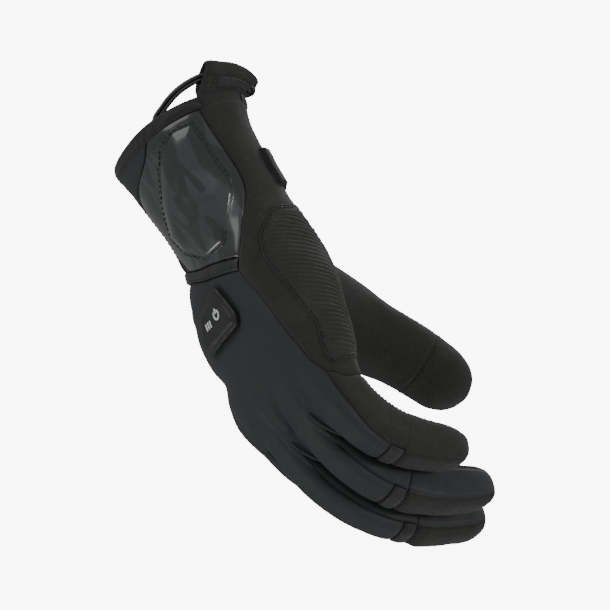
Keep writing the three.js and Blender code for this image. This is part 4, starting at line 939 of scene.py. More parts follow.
little = Panel()
littleStart = steps(float(toDistance(handRows[3])), float(toDistance(handRows[5])), 2 * fine)
topLittle = np.stack([np.interp(wrapBottom[:, 0], *np.array(rayTable["little"], float).T[::-1]),
                      toDistance(wrapBottom[:, 1])], -1)
lowest = np.stack([littleSeam(littleStart[-1]) + (145 - littleSeam(littleStart[-1]))
                   * np.linspace(0, 1, 7 * fine + 1), np.full(7 * fine + 1, littleStart[-1])], -1)
leftLittle = np.stack([littleSeam(littleStart), littleStart], -1)
rightLittle = np.stack([np.full(len(littleStart), 145.0),
                        steps(float(toDistance(handRows[4])), float(toDistance(handRows[5])), 2 * fine)], -1)
first = coons(topLittle, lowest, leftLittle, rightLittle)
little.grid(ray("little", first[..., 0], first[..., 1]), first[..., 0], first[..., 1],
            fingers["little"].centre(first[..., 1])[0])
rows = refine(refine(fingerRows["little"][5:]))
little.ray("little", rows, littleSeam(rows)[:, None] + (145 - littleSeam(rows))[:, None]
           * np.linspace(0, 1, 7 * fine + 1))
little.weld()


def slimLittle(at):
    # the little finger is drawn in on its palm side, past its root
    rise = smoothStep(at[:, 1], littleStart[-1] - 4, littleStart[-1] + 16)
    return -3.2 * bell(wrapAngle(at[:, 0]) - 100, 48) * rise


little.unsew(lambda at: at[:, 1] > rows[-1] - 0.1)
scallop = 0.5 * (np.cos(little.at[:, 1] * 2 * np.pi / 2.7) - 1) * smoothStep(little.at[:, 0], 25, 60)
scallop = scallop * smoothStep(little.at[:, 1], littleStart[-1], littleStart[-1] + 6)
panels["little_side"] = little.lift(clothRelief(little, 0.34, 11, 5, 41) + slimLittle(little.at)
                                    + handShape(handOf(little, "little"), little.at[:, 1]) + scallop)

loopAt = thumbSet["loop"]


def loopReach(uv):
    # how far a place is from the middle of the thumb's loop: 1 on the loop itself, as a rounded ellipse
    a = np.abs(wrapAngle(uv[:, 0] - loopAt["angle"]) / loopAt["wide"])
    b = np.abs((toAlong(uv[:, 1]) - loopAt["along"]) / loopAt["long"])
    return (a ** 2.2 + b ** 2.2) ** (1 / 2.2)


palm = Panel()
palm.lay(coons(line(wrapRight[0], [160, hemAlong], 9 * fine), cuffPalmBottom, wrapRight[:7 * fine + 1],
               line([160, hemAlong], seams["gussetLeft"], 7 * fine)))
palm.lay(coons(np.vstack([cuffPalmBottom, gussetTurn[1:]]),
               np.stack([palmBottom, np.full(len(palmBottom), handTop)], -1), wrapRight[7 * fine:16 * fine + 1],
               outerLine))
for name in ("ring", "middle", "index"):
    rows = refine(fingerRows[name])
    angles = columns(name, "palm")
    if name == "index":
        angles = np.concatenate([angles, columns(name, "outer")[1:]])
    palm.ray(name, rows, np.broadcast_to(angles, (len(rows), len(angles))))
inLoop = lambda uv: (loopReach(uv) < 0.9) & (uv[:, 1] < topDistance)
palm.weld(hole=inLoop)
loopCurvePoints = body(*thumbLoop(steps(0, 360, 240)))
loopDist = nearest(palm.p, loopCurvePoints)[0]
fingerEnds = [fingerRows[name][-1] for name in ("ring", "middle", "index")]
palm.unsew(lambda at: (np.abs(at[:, 1:2] - fingerEnds) < 0.1).any(1))
palm.dist = np.minimum(np.where(loopReach(palm.at) < 1.0, 0, palm.dist), loopDist)
relief = clothRelief(palm, 0.50, 15, 5.5, 51, ["ring", "middle", "index"])
relief -= 1.6 * smoothStep(1 - loopReach(palm.at), 0.0, 0.09) * (palm.at[:, 1] < topDistance) * (loopDist < 12)
panels["palm_panel"] = palm.lift(relief + handShape(handOf(palm), palm.at[:, 1]))

gusset = Panel().lay(coons(line([160, hemAlong], [shieldLeft[0][0] + 360, hemAlong], 8 * fine),
                           np.vstack([gussetTurn, gussetBottom[1:] + [360, 0]]),
                           line([160, hemAlong], seams["gussetLeft"], cuffSteps), shieldLeft + [360, 0])).weld()
panels["cuff_gusset"] = gusset.lift(clothRelief(gusset, 0.30, 16, 7, 61))

for key, slit in slits.items():
    web = Panel()
    for finger in slit[2:]:
        angles = columns(finger, "high" if slit[2] == finger else "low")
        coarse = fingerRows[finger][fingerRows[finger] > toDistance(slit[1]) - 0.01]
        rows = refine(coarse)
        a, d = np.broadcast_arrays(angles[None, :], rows[:, None])
        web.grid(slitSide(finger, slit, a, d), a, d, fingers[finger].centre(d)[0])
    web.weld()
    webEnds = [fingerRows[finger][-1] for finger in slit[2:]]
    web.unsew(lambda at: (np.abs(at[:, 1:2] - webEnds) < 0.1).any(1))
    panels[f"web_{key}"] = web.lift(clothRelief(web, 0.30, 9, 4, 71, slit[2:]))

for name in fingerNames:
    rows = refine(fingerRows[name][-2:])
    band = Panel().ray(name, rows, backGrid(name, rows)).weld()
    across = np.minimum(band.at[:, 1] - rows[0], rows[-1] - band.at[:, 1])
    panels[f"band_{name}"] = band.lift(-0.35 + 0.95 * (1 - bell(across, 0.7)) + 0.10 * noise(band.p, 4, 9)
                                       + groove(across - 1.4, 0.15, 0.35))


def domeRows(end, dome):
    # rows over a rounded end, crowding towards its tip as the sine of even steps
    return end - dome + dome * np.sin(steps(0, np.pi / 2, 5 * fine))


tipSeams = {"little": (-145, -52.5, 145), "ring": (-145, -35, 35, 145), "middle": (-145, -35, 35, 145),
            "index": (-145, -35, 35, 145)}
for name in fingerNames:
    f = fingers[name]
    start = fingerRows[name][-1]
    rows = np.concatenate([steps(start, f.end - f.dome, 4 * fine)[:-1], domeRows(f.end, f.dome)])
    tip = Panel().ray(name, rows, np.broadcast_to(steps(-180, 180, 13 * fine), (len(rows), 13 * fine + 1))).weld()
    fromEnd = 1 - smoothStep(tip.at[:, 1], f.end - 7, f.end - 1)
    tip.unsew(lambda at: (wrapAngle(at[:, 0]) > (-52 if name == "little" else -35)) | (wrapAngle(at[:, 0]) < -145))
    height = clothRelief(tip, 0.38, 8.5, 4.2, 81 + len(name), [name])
    if name == "little":
        height += slimLittle(tip.at) * fromEnd
    if name == "middle":
        # its back is a little fuller
        fuller = 1.9 * bell(wrapAngle(tip.at[:, 0]) + 90, 52)
        height += fuller * smoothStep(tip.at[:, 1], start + 0.5, start + 6) * fromEnd
    for angle in tipSeams[name]:
        off = np.abs(wrapAngle(tip.at[:, 0] - angle)) * (fingerDepth / 2) * math.pi / 180
        height += fromEnd * (groove(off, 0.85, 1.0) + 0.16 * bell(off - 2.4, 1.6))
    panels[f"tip_{name}"] = tip.lift(height)

thumbTipStart = 0.76 * thumbLength
thumbRows = np.array([0, 0.05, 0.08, 0.14, 0.21, 0.29, 0.38, 0.48, 0.58, 0.68, 0.76]) * thumbLength
thumbBackFrom = 234                      # angle round the thumb where its palm piece ends and its back piece starts


def thumbGrid(angles, rows):
    a, s = np.broadcast_arrays(angles[None, :], rows[:, None])
    middle = thumbCentre(np.clip(s, 0.1 * thumbLength, thumbLength - thumbDome))[0]
    return Panel().grid(thumb(a, s), a, s, middle).weld()


# creases round the inner bend of the thumb, fans at its root: angle and share of its length at both ends, width,
# depth
thumbCreases = (
    (20, 0.40, 120, 0.37, 1.7, 0.6), (30, 0.46, 110, 0.44, 1.5, 0.4), (15, 0.66, 130, 0.64, 1.6, 0.55),
    (200, 0.30, 300, 0.34, 2.0, 0.45), (150, 0.16, 220, 0.24, 2.0, 0.6), (320, 0.14, 380, 0.2, 2.2, 0.6),
    (240, 0.50, 320, 0.47, 1.8, 0.4), (60, 0.2, 130, 0.15, 2.2, 0.6))


def thumbFolds(p):
    total = np.zeros(len(p))
    for a0, s0, a1, s1, width, depth in thumbCreases:
        a, b = thumb(np.array([a0, a1]), np.array([s0, s1]) * thumbLength)
        total += foldLine(p, a, b, width, depth)
    return total


for name, low, high, count, seed in (("thumb_palm", 0, thumbBackFrom, 13, 91),
                                     ("thumb_back", thumbBackFrom, 360, 7, 95)):
    part = thumbGrid(steps(low, high, count * fine), refine(thumbRows))
    part.unsew(lambda at: at[:, 1] > thumbTipStart - 0.1)
    panels[name] = part.lift(clothRelief(part, 0.40, 12, 5, seed) + thumbFolds(part.p) * (1 - bell(part.inner, 3))
                             + groove(thumbTipStart - part.at[:, 1], 0.18, 0.7))
thumbTipRows = np.concatenate([steps(thumbTipStart, thumbLength - thumbDome, 2 * fine)[:-1],
                               domeRows(thumbLength, thumbDome)])
part = thumbGrid(steps(0, 360, 20 * fine), thumbTipRows)
part.unsew(lambda at: at[:, 1] > 0)
height = clothRelief(part, 0.36, 9, 4.4, 99) + groove(part.at[:, 1] - thumbTipStart, 0.18, 0.7)
for angle in (0, thumbBackFrom):
    off = np.abs(wrapAngle(part.at[:, 0] - angle)) * (thumbSet["depth"] / 2) * math.pi / 180
    height += groove(off, 0.5, 0.75) * (1 - smoothStep(part.at[:, 1], thumbLength - 7, thumbLength - 1))
panels["thumb_tip"] = part.lift(height)

# the thumb's palm and tip pieces take the darker suede copy, which is painted shade
ownLook = {"thumb_palm": thumbSuedePaintedShade, "thumb_tip": thumbSuedePaintedShade, "wrist_strip": stripFilm}
slotOf = {"cuff_shield": "gloss_film", "wrist_strip": "gloss_film", "back_panel": "softshell",
          "cuff_gusset": "softshell", "thumb_back": "softshell", "web": "softshell", "band": "edging"}
lookOf = {"gloss_film": film, "softshell": softshell, "edging": edging, "suede": suede}
for name, panel in panels.items():
    slot = slotOf.get(name) or slotOf.get(name.split("_")[0], "suede")
    material = ownLook.get(name, lookOf[slot])
    made = panelObject(name + "_cloth", panel, material, name)
    if name in ("tip_ring", "tip_middle", "tip_index"):
        # the inner sides of these tips are the same stretch cloth as the gussets between the fingers
        made.data.materials.append(softshell)
        faces, uv = trimFaces(panel.faces, panel.faceUv)
        starts = np.cumsum([0] + [len(f) for f in faces[:-1]])
        sides = np.add.reduceat(uv[:, 0], starts) / [len(f) for f in faces]
        faced = (np.abs(sides) < 35) | ((np.abs(sides) > 145) & (name != "tip_index"))
        made.data.polygons.foreach_set("material_index", faced.astype(np.int32))
print("panels laid", sum(len(p.p) for p in panels.values()))

# how a cover lies on what is under it
def settle(p, onto):
    # carries points onto a sewn surface: onto the plane of its nearest vertex
    _, i = nearest(p, onto.p)
    n = onto.n[i]
    return p + n * ((onto.p[i] - p) * n).sum(1)[:, None], n


def joined(*names):
    both = Panel()
    both.p = np.vstack([panels[n].p for n in names])
    both.n = np.vstack([panels[n].n for n in names])
    return both


def polarCover(outline, count):
    # rings drawn from an outline to its middle, crowded towards the edge: share 1 - u^1.8
    middle = outline[:-1].mean(0)
    share = 1 - np.linspace(0, 1, count + 1) ** 1.8
    return Panel().lay(middle + (outline - middle) * share[:, None, None]).weld()


def place(cover, ground, height):
    # settles a cover and lifts it by its height over the ground
    base, n = settle(cover.p, ground)
    cover.p = base + n * np.asarray(height)[:, None]
    cover.n = cover.normals()
    return cover


def step(dist, tall, width, low=-0.5):
    # rounded wall at an edge: from low up to tall as 1 - exp(-(dist/width)^2)
    return low + (tall - low) * (1 - bell(dist, width))


# raised pad on the cuff shield: a soft dome with a sewn channel along its edge
padSet = {"edge": 0.55, "dome": 2.4, "reach": 4.2, "channel": 1.5, "channelDeep": 0.95, "channelWide": 0.65,
          "outline": [[-48, 0.115], [-27, 0.13], [-22, 0.66], [-28, 0.79], [-62, 1.09], [-86, 1.10], [-106, 0.93],
                      [-115, 0.71], [-96, 0.48], [-78, 0.27], [-66, 0.17]]}
padOutline = closedLine(np.array(padSet["outline"], float), 44 * fine, fine)
pad = polarCover(padOutline, 8 * fine)
padHeight = step(pad.dist, padSet["edge"], 0.45)
padHeight = padHeight - padSet["channelDeep"] * bell(pad.dist - padSet["channel"], padSet["channelWide"])
pastChannel = np.maximum(pad.dist - padSet["channel"], 0)
padHeight += padSet["dome"] * (1 - np.exp(-(pastChannel / padSet["reach"]) ** 1.5)) + 0.12 * noise(pad.p, 13, 7)
place(pad, panels["cuff_shield"], padHeight)
padObject = panelObject("shield_pad_film", pad, film, "shield_pad", 0.8)

# ribbed grip patch on the heel of the hand: slanting ridges that fade out before the sewn border
patchSet = {"thick": 0.75, "pitch": 2.5, "rib": 0.42, "slant": (0.453, 0.892), "border": 4.3, "sewn": (1.3, 3.1),
            "top": [[-30, 1.165], [-24, 1.12], [-1, 1.0], [36, 1.0], [45, 1.13]],
            "right": [[45, 1.13], [52, 1.25], [52, 1.62], [45, 1.87]],
            "left": [[-30, 1.165], [-34.5, 1.26], [-34.5, 1.31], [-28, 1.45], [-16, 1.72], [-21, 1.83],
                     [-19.5, 1.90]],
            "bottom": [[-19.5, 1.90], [-16, 1.95], [42, 1.96], [45, 1.87]]}
across, down = ((72, 210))
patchSides = (("top", across), ("bottom", across), ("left", down), ("right", down))
borders = [soften(spread(patchSet[side], n), n // 8) for side, n in patchSides]
patch = Panel().lay(coons(*borders)).weld()
slanted = patch.p[:, 0] * patchSet["slant"][0] + patch.p[:, 2] * patchSet["slant"][1]
ribs = np.sin((slanted + 0.5 * noise(patch.p, 14, 3)) * 2 * np.pi / patchSet["pitch"])
ribShare = smoothStep(patch.dist, patchSet["border"] - 0.6, patchSet["border"] + 1.6)
ribShare = ribShare * (0.72 + 0.45 * noise(patch.p, 16, 15))
patchHeight = step(patch.dist, patchSet["thick"], 0.5, -0.4) + ribShare * patchSet["rib"] * ribs
for off in patchSet["sewn"]:
    patchHeight += -0.26 * bell(patch.dist - off, 0.5)
patchHeight += 0.22 * noise(patch.p, 11, 17) * smoothStep(patch.dist, 1, 6)
place(patch, panels["side_wrap"], patchHeight)
# the patch takes the paler suede copy, which is painted light
panelObject("grip_patch_suede", patch, patchSuedePaintedLight, "grip_patch", 0.7)

# moulded tab of the wrist strap: thick slab with rounded edges, a sewn rim and three shallow ridges
tabSet = {"thick": 3.2, "outline": [[23, .50], [76, .52], [76, .82], [23, .83]], "rim": 2.2}
tabOutline = closedLine(np.array(tabSet["outline"], float), 30 * fine, 3 * fine)
tab = polarCover(tabOutline, 5 * fine)
ridges = smoothStep(tab.dist, 3, 4.5) * 0.16 * np.cos((tab.at[:, 0] - 48) * math.pi / 6.5)
tabHeight = step(tab.dist, tabSet["thick"], 0.75, -0.6) - 0.3 * bell(tab.dist - tabSet["rim"], 0.5) + ridges
place(tab, joined("side_wrap", "palm_panel"), tabHeight)
panelObject("wrist_tab_rubber", tab, tabRubber, "wrist_tab", 1.4)

# control button: a rim round a flat pressing face, which carries the printed marks
button = polarCover(buttonOutline, 6 * fine)
faceAngle, faceAlong = buttonSet["faceAt"]
faceMiddle = skinAt(faceAngle, faceAlong)
faceRight = unit(skinAt(faceAngle + 0.5, faceAlong) - skinAt(faceAngle - 0.5, faceAlong))
faceDown = unit(skinAt(faceAngle, faceAlong + 0.01) - skinAt(faceAngle, faceAlong - 0.01))
faceUp = unit(np.cross(faceRight, faceDown))
faceUp = faceUp if faceUp @ (faceMiddle - bodyCentre(toDistance(faceAlong))) > 0 else -faceUp
buttonHeight = step(button.dist, buttonSet["rim"], 0.6, -0.6) - 0.12 * bell(button.dist - 2.6, 0.4)
place(button, panels["back_panel"], buttonHeight)
toFace = faceMiddle @ faceUp + buttonSet["face"] - button.p @ faceUp
flat = smoothStep(button.dist, 2.7, 4.2)
button.p = button.p + faceUp * (toFace * flat)[:, None]
button.n = button.normals()
panelObject("control_button_rubber", button, buttonRubber, "control_button", 1.2)
for name in ("power_ring", "power_stem", "level_bar_1", "level_bar_2", "level_bar_3"):
    node = bpy.data.objects[name]
    for part in node.material_slots:
        part.material = marks

# hem: binding folded over the rim, open where the loop passes
hemSet = {"from": 30, "to": 344.5, "steps": 150,
          # distance from the rim, height over the skin
          "profile": np.array([[4.9, -0.5], [4.75, 0.15], [4.35, 0.5], [3.2, 0.7], [1.8, 0.75], [0.6, 0.68],
                               [-0.25, 0.35], [-0.7, -0.4], [-0.85, -1.3], [-0.7, -2.2], [-0.1, -2.95], [1.0, -3.2],
                               [2.6, -3.25], [4.4, -3.2], [5.0, -2.9]])}


def outward(angle, d):
    # skin's own normal from small steps along both directions
    a, b = body(angle + 0.4, d) - body(angle - 0.4, d), body(angle, d + 0.4) - body(angle, np.maximum(d - 0.4, 0))
    n = unit(np.cross(a, b))
    return np.where(((body(angle, d) - bodyCentre(d)) * n).sum(-1, keepdims=True) > 0, n, -n)


def hemDrop(angle):
    # the rim sags a little on the back, towards the thumb side
    return 1.6 * bell(wrapAngle(angle) + 112, 46)


hemProfile = np.stack([refine(hemSet["profile"][:, k]) for k in (0, 1)], -1)
for _ in range(fine):
    hemProfile[1:-1] = hemProfile[1:-1] / 2 + (hemProfile[:-2] + hemProfile[2:]) / 4
hemAngle, hemD = np.meshgrid(steps(hemSet["from"], hemSet["to"], hemSet["steps"] * fine // 3), hemProfile[:, 0],
                             indexing="ij")
hemD = hemD + hemDrop(hemAngle)
hemUp = unit(body(hemAngle, 0 * hemD) - body(hemAngle, 0 * hemD + 0.5))
onBody, wallD = np.maximum(hemD, 0), np.full(hemD.shape, 2.4)
hemPoints = body(hemAngle, onBody) + outward(hemAngle, onBody) * hemProfile[:, 1][None, :, None]
hemPoints = hemPoints + hemUp * np.maximum(-hemD, 0)[..., None]
hem = Panel().grid(hemPoints, hemAngle, hemD, body(hemAngle, wallD) - outward(hemAngle, wallD) * 1.3).weld()
hem.lift(0.08 * noise(hem.p, 5, 19) - 0.2 * bell(hem.at[:, 1] - hemDrop(hem.at[:, 0]) - 3.6, 0.45)
         * (((hem.p - bodyCentre(hem.at[:, 1])) * hem.n).sum(1) > 0))
panelObject("cuff_hem_binding", hem, edging, "cuff_hem", 0.8)


# smooth curve through points, as the centripetal Catmull-Rom of the part's source
def curvePoints(points, t):
    q = np.asarray(points, float)
    q = np.vstack([2 * q[0] - q[1], q, 2 * q[-1] - q[-2]])
    n = len(points)
    at = np.clip(np.asarray(t, float), 0, 1) * (n - 1)
    i = np.minimum(at.astype(int), n - 2)
    w = at - i
    x0, x1, x2, x3 = (q[i + j] for j in range(4))
    gap = lambda a, b: (((a - b) ** 2).sum(-1)) ** 0.25
    d0, d1, d2 = gap(x0, x1), gap(x1, x2), gap(x2, x3)
    d1 = np.where(d1 < 1e-4, 1.0, d1)
    d0, d2 = np.where(d0 < 1e-4, d1, d0)[:, None], np.where(d2 < 1e-4, d1, d2)[:, None]
    d1, w = d1[:, None], w[:, None]
    t1 = ((x1 - x0) / d0 - (x2 - x0) / (d0 + d1) + (x2 - x1) / d1) * d1
    t2 = ((x2 - x1) / d1 - (x3 - x1) / (d1 + d2) + (x3 - x2) / d2) * d1
    return x1 + t1 * w + (-3 * x1 + 3 * x2 - 2 * t1 - t2) * w ** 2 + (2 * x1 - 2 * x2 + t1 + t2) * w ** 3


# pull loop: up from the end of the wrap, over, and down inside the cuff
loopSet = {"from": -16, "to": 29, "riseBack": 23.7, "risePalm": 15, "thick": 1.7, "room": 3.4, "tuck": 17,
           "wide": 1.24, "wayBack": (0.70, -0.14, 0.70), "wayPalm": (0.88, -0.22, 0.40),
           # mm of cloth for the whole way across and round, for the weave
           "cloth": (24, 110)}
wall, seamGap = 2.6, 0.36
loopFold = (wall + seamGap + loopSet["thick"] + loopSet["room"]) / 2
loopBack = wall + seamGap + loopSet["thick"]
loopSide = np.array([0, -1.0, 0])


def rimAt(t):
    return body(loopSet["from"] + (loopSet["to"] - loopSet["from"]) * t, 0.0)


def loopWay(t):
    onBack, onPalm = (unit(np.array(loopSet[k])) for k in ("wayBack", "wayPalm"))
    return onBack * loopSet["riseBack"] * (1 - t) + onPalm * loopSet["risePalm"] * t


def tunnel(t):
    return rimAt(t) + loopWay(t) * 0.60 - loopSide * loopFold * 0.97


def loopLine(t):
    angle, way = loopSet["from"] + (loopSet["to"] - loopSet["from"]) * t, loopWay(t)
    rise = lambda k, out=0.0: rimAt(t) + way * k + loopSide * out
    inner = lambda d: body(angle, float(d)) - outward(angle, float(d)) * loopBack
    hemWidth, tuck = seams["hemWidth"], loopSet["tuck"]
    return [body(angle, hemWidth), body(angle, hemWidth * 0.5), rise(0.06), rise(0.3), rise(0.52), rise(0.72),
            rise(0.98, loopFold * -0.38), rise(1.02, loopFold * -1.25),
            rise(0.84, loopFold * -1.95), rise(0.38, -loopBack - loopSet["room"] * 0.7), inner(0) + way * 0.1,
            inner(tuck * 0.4), inner(tuck * 0.7), inner(tuck)]


loopU = steps(0, 1, 26 * fine)
loopRows = np.stack([curvePoints(loopLine(t), loopU) for t in steps(0, loopSet["wide"], 6 * fine)], 1)
loopT = np.broadcast_to(steps(0, loopSet["wide"], 6 * fine), loopRows.shape[:2])
loopMiddle = tunnel(0.5)
loopAcross, loopRound = loopSet["cloth"]
inward = (loopRows + loopRows[::-1]) / 2 * 0.8 + loopMiddle * 0.2
inward = np.broadcast_to(inward[:, inward.shape[1] // 2][:, None], loopRows.shape)
loopPanel = Panel().grid(loopRows, loopT * loopAcross, loopU[:, None] * loopRound, inward).weld()
loopEdge = np.minimum(loopPanel.at[:, 0], loopAcross * loopSet["wide"] - loopPanel.at[:, 0])
loopPanel.lift(-0.55 * bell(loopEdge, 0.9) - 0.22 * bell(loopEdge - 2.0, 0.5) + 0.22 * noise(loopPanel.p, 9, 23)
               + 0.08 * noise(loopPanel.p, 3.4, 24))
panelObject("pull_loop_suede", loopPanel, suede, "pull_loop", 1.5)

# bare woven label on the loop, its edges pressed in
labelSet = {"t": (0.30, 1.12), "u": (0.19, 0.30), "thick": 0.75}
labelU, labelT = np.meshgrid(steps(*labelSet["u"], 5 * fine), steps(*labelSet["t"], 6 * fine), indexing="ij")
labelRows = np.stack([curvePoints(loopLine(t), labelU[:, 0]) for t in labelT[0]], 1)
labelInside = np.broadcast_to(loopMiddle, labelRows.shape)
label = Panel().grid(labelRows, labelT * loopAcross, labelU * loopRound, labelInside).weld()
place(label, loopPanel, step(label.dist, labelSet["thick"], 0.4, -0.3) - 0.22 * smoothStep(label.dist, 1.1, 1.6))
panelObject("loop_label_cloth", label, labelCloth, "loop_label", 0.5)


# battery leads: round tubes held at both ends inside the cuff; angles round the rim where they leave and come back
leadSet = {"diameter": 2.1, "fromMiddle": 1.06, "fromWall": 2.4, "arch": 3.6, "steps": 240, "sides": 14,
           "leave": (-65, -63, -60), "back": (60, 62)}


def inRim(angle, d, more):
    # a place inside the cuff, that much further in than its wall
    return body(angle, float(d)) - outward(angle, float(d)) * (wall + more)


def lead(side):
    near, (deep, low, out), (top, under) = leadSet["fromWall"], leadSet["leave"], leadSet["back"]
    start, end = inRim(out, 0, near + 1), tunnel(0.04)
    points = [inRim(deep, 20, near), inRim(low, 9, near + 0.3), start]
    points += [start + (end - start) * k + np.array([0, 0, leadSet["arch"] * 4 * k * (1 - k)])
               for k in (0.22, 0.5, 0.78)]
    points += [end, tunnel(0.5), tunnel(0.98), tunnel(1.3), inRim(top, 0, near + 4) + [0, 0, 3.75]]
    points += [inRim(under, 6, near + 3.5), inRim(under, 13, near + 1.5), inRim(under, 20, near + 0.5)]
    count = leadSet["steps"]
    t = steps(0, 1, count)
    path = curvePoints(points, t)
    slant = [0.5, 0.7, 0.5]              # both leads lie side by side across this direction
    path = path + unit(np.cross(np.gradient(path, axis=0), slant)) * side * leadSet["fromMiddle"]
    way = unit(np.gradient(path, axis=0))
    aside = unit(np.cross(way, slant))
    over = np.cross(aside, way)
    turn = np.radians(steps(0, 360, leadSet["sides"]))
    fromEnd = np.minimum(np.arange(count + 1), np.arange(count, -1, -1))
    radius = leadSet["diameter"] / 2 * np.sqrt(np.clip(fromEnd / 2, 0, 1))
    ring = aside[:, None] * np.cos(turn)[None, :, None] + over[:, None] * np.sin(turn)[None, :, None]
    rows = path[:, None] + ring * radius[:, None, None]
    return Panel().grid(rows, np.degrees(turn)[None, :], t[:, None] * 200,
                        np.broadcast_to(path[:, None], rows.shape)).weld()


for name, side in (("lead_outer", -1), ("lead_inner", 1)):
    panelObject(name + "_jacket", lead(side), jacket, name, 0)
print("covers laid")


# sewing: each stitch is a short capsule, half sunk into the cloth
def capsule(length, radius):
    # three rings of six between two poles along x
    ring = [(-length / 2 + radius * 0.6, radius * 0.8), (-length / 6, radius), (length / 6, radius),
            (length / 2 - radius * 0.6, radius * 0.8)]
    turn = np.radians(np.arange(0, 360, 60))
    around = list(zip(np.cos(turn), np.sin(turn)))
    points = [[-length / 2, 0, 0]] + [[x, r * c, r * s] for x, r in ring for c, s in around] + [[length / 2, 0, 0]]
    faces = []
    for c in range(6):
        e = (c + 1) % 6
        faces += [[0, 1 + e, 1 + c], [25, 19 + c, 19 + e]]
        for r in range(3):
            a, b = 1 + r * 6, 7 + r * 6
            faces += [[a + c, a + e, b + e], [a + c, b + e, b + c]]
    return np.array(points, float), np.array(faces)


stitchSet = {"length": 2.1, "pitch": 3.0, "radius": 0.27, "sink": 0.02}
rowsSewn = []


def sew(line3d, ground, inset=0.0, pitch=stitchSet["pitch"]):
    # a row of stitches: even steps along a line, moved sideways by inset across the surface, laid on it
    run = np.concatenate([[0], np.cumsum(np.linalg.norm(np.diff(line3d, axis=0), axis=1))])
    count = max(2, int(run[-1] / pitch))
    t = (np.arange(count) + 0.5) / count * run[-1]
    p, ahead, behind = (np.stack([np.interp(t + off, run, line3d[:, k]) for k in range(3)], -1)
                        for off in (0, 0.8, -0.8))
    p, n = settle(p, ground)
    way = unit(ahead - behind)
    p, n = settle(p + unit(np.cross(n, way)) * inset, ground)
    way = unit(way - n * (way * n).sum(1)[:, None])
    rowsSewn.append((p + n * stitchSet["sink"], way, n))


def onSkin(rows):
    return skin(rows[:, 0], toDistance(rows[:, 1]))


sew(onSkin(padOutline), pad, -padSet["channel"])
for off in patchSet["sewn"]:
    ring = np.vstack([borders[0], borders[3][1:], borders[1][::-1][1:], borders[2][::-1][1:]])
    sew(onSkin(ring), patch, -off, 2.6)
hemRow = steps(hemSet["from"] + 1, hemSet["to"] - 1, 400)
sew(body(hemRow, 3.6 + hemDrop(hemRow)), hem)
sew(onSkin(tabOutline), tab, -tabSet["rim"], 2.8)
for t in (0.085, loopSet["wide"] - 0.085):
    sew(curvePoints(loopLine(t), steps(0.0, 0.56, 200)), loopPanel, 0, 2.8)
for u in (0.165, 0.325):
    sew(np.array([curvePoints(loopLine(t), np.array([u]))[0] for t in steps(0.1, loopSet["wide"] - 0.1, 14)]),
        loopPanel, 0, 2.6)
sew(np.array([curvePoints(loopLine(0.235), np.array([u]))[0] for u in steps(0.165, 0.325, 12)]), loopPanel, 0, 2.4)
sew(onSkin(stripLowLine), panels["wrist_strip"], 1.3, 2.8)
sew(onSkin(shieldLeft[2 * fine:] - [4.0, 0]), panels["cuff_gusset"], 0, 2.8)
for name in fingerNames:
    f = fingers[name]
    d = fingerRows[name][-1] + 1.6
    sew(ray(name, steps(-140, -56 if name == "little" else -40, 40), np.full(41, d)), panels[f"tip_{name}"], 0, 2.5)
for angle in (7, thumbBackFrom - 7):
    sew(thumb(np.full(121, angle), steps(0.06 * thumbLength, 0.74 * thumbLength, 120)), panels["thumb_palm"], 0, 2.8)
sew(thumb(steps(8, 352, 200), np.full(201, thumbTipStart + 2.0)), panels["thumb_tip"], 0, 2.6)
sew(onSkin(wrapRight[2 * fine:16 * fine]), panels["palm_panel"], -2.0, 2.8)


def stitchObject(name, rows, material):
    # every stitch is the capsule turned to its way and placed by whole-array products
    shape, faces = capsule(stitchSet["length"], stitchSet["radius"])
    at, way, n = (np.vstack([r[j] for r in rows]) for j in range(3))
    aside = np.cross(n, way)
    points = at[:, None] + shape[None, :, :1] * way[:, None]
    points = points + shape[None, :, 1:2] * aside[:, None] + shape[None, :, 2:] * n[:, None]
    allFaces = faces[None] + np.arange(len(at))[:, None, None] * len(shape)
    run = np.broadcast_to(shape[None, :, 0], (len(at), len(shape)))
    uv = np.stack([run, np.zeros_like(run)], -1).reshape(-1, 2)[allFaces.reshape(-1, 3)] * 0.001
    obj = addObject(name, points.reshape(-1, 3), allFaces.reshape(-1, 3).tolist(), uv.reshape(-1, 2), material)
    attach(obj, "root")
    return len(at)


print("stitches", stitchObject("seam_thread", rowsSewn, thread))

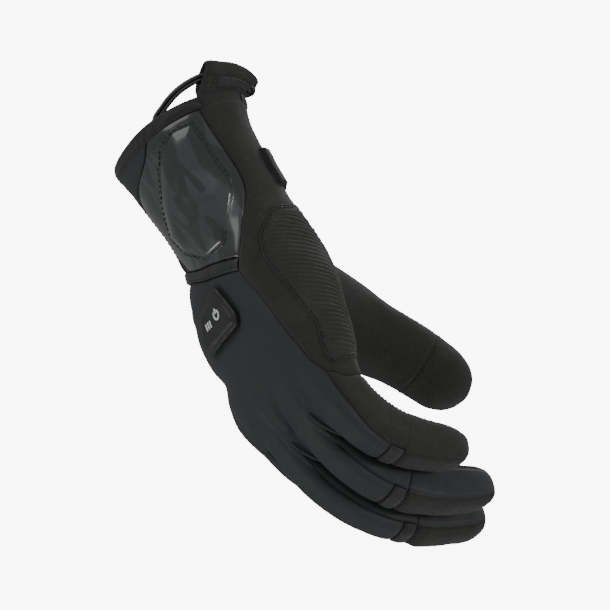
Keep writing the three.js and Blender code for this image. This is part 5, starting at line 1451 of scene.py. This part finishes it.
# light, floor
studio = {"floor": -0.75, "floorHalf": 560, "floorCells": 8, "aim": (0.01, 0.0, -0.12), "world": (0.96, 0.965, 0.97),
          "worldStrength": 0.32, "backdropStrength": 9.0,
          # across, up, towards the camera (metres from the aim), size, power
          "lamps": [(-1.0, 1.0, 0.8, 1.5, 12), (1.2, 0.1, 0.75, 0.36, 8.0), (0.55, -1.0, 1.0, 0.36, 4.0),
                    (0.5, 0.9, -0.9, 0.8, 9), (-1.0, -1.2, 0.35, 0.6, 6.5)]}
world = bpy.data.worlds.new("studio")
world.use_nodes = True
sky = world.node_tree
lighting = sky.nodes["Background"]
backdrop = sky.nodes.new("ShaderNodeBackground")
for shade, strength in ((lighting, studio["worldStrength"]), (backdrop, studio["backdropStrength"])):
    shade.inputs["Color"].default_value = studio["world"] + (1.0,)
    shade.inputs["Strength"].default_value = strength
seen, either = sky.nodes.new("ShaderNodeLightPath"), sky.nodes.new("ShaderNodeMixShader")
sky.links.new(seen.outputs["Is Camera Ray"], either.inputs[0])
sky.links.new(lighting.outputs[0], either.inputs[1])
sky.links.new(backdrop.outputs[0], either.inputs[2])
sky.links.new(either.outputs[0], sky.nodes["World Output"].inputs["Surface"])
bpy.context.scene.world = world
middle = np.array(studio["aim"])
for n, (across, up, near, size, power) in enumerate(studio["lamps"]):
    data = bpy.data.lights.new(f"softbox_{n}", "AREA")
    data.shape, data.size, data.energy = "SQUARE", size, power
    lamp = bpy.data.objects.new(f"softbox_{n}", data)
    bpy.context.collection.objects.link(lamp)
    at = middle + across * camRight + up * camUp + near * camBack
    lamp.location = at.tolist()
    lamp.rotation_euler = Vector((at - middle).tolist()).to_track_quat("Z", "Y").to_euler()
floorLook = Look("studio_floor")
floorTone = floorLook.blend(floorLook.span(floorLook.noise(9, 3, 0.5), 0.3, 0.7), linear((0.90, 0.905, 0.91)),
                            linear((0.93, 0.935, 0.94)))
floorMaterial = floorLook.finish(Base_Color=floorTone, Roughness=0.8)
half, cells = studio["floorHalf"], studio["floorCells"]
level = np.full((cells + 1, cells + 1), studio["floor"] * 1000)
grid = np.stack(np.meshgrid(steps(-half, half, cells), steps(-half, half, cells), indexing="ij") + [level], -1)
ids = np.arange((cells + 1) ** 2).reshape(cells + 1, cells + 1)
floorFaces = np.stack([ids[:-1, :-1], ids[1:, :-1], ids[1:, 1:], ids[:-1, 1:]], -1).reshape(-1, 4).tolist()
floor = addObject("floor", grid.reshape(-1, 3), floorFaces, None, floorMaterial)

print("scene ready")
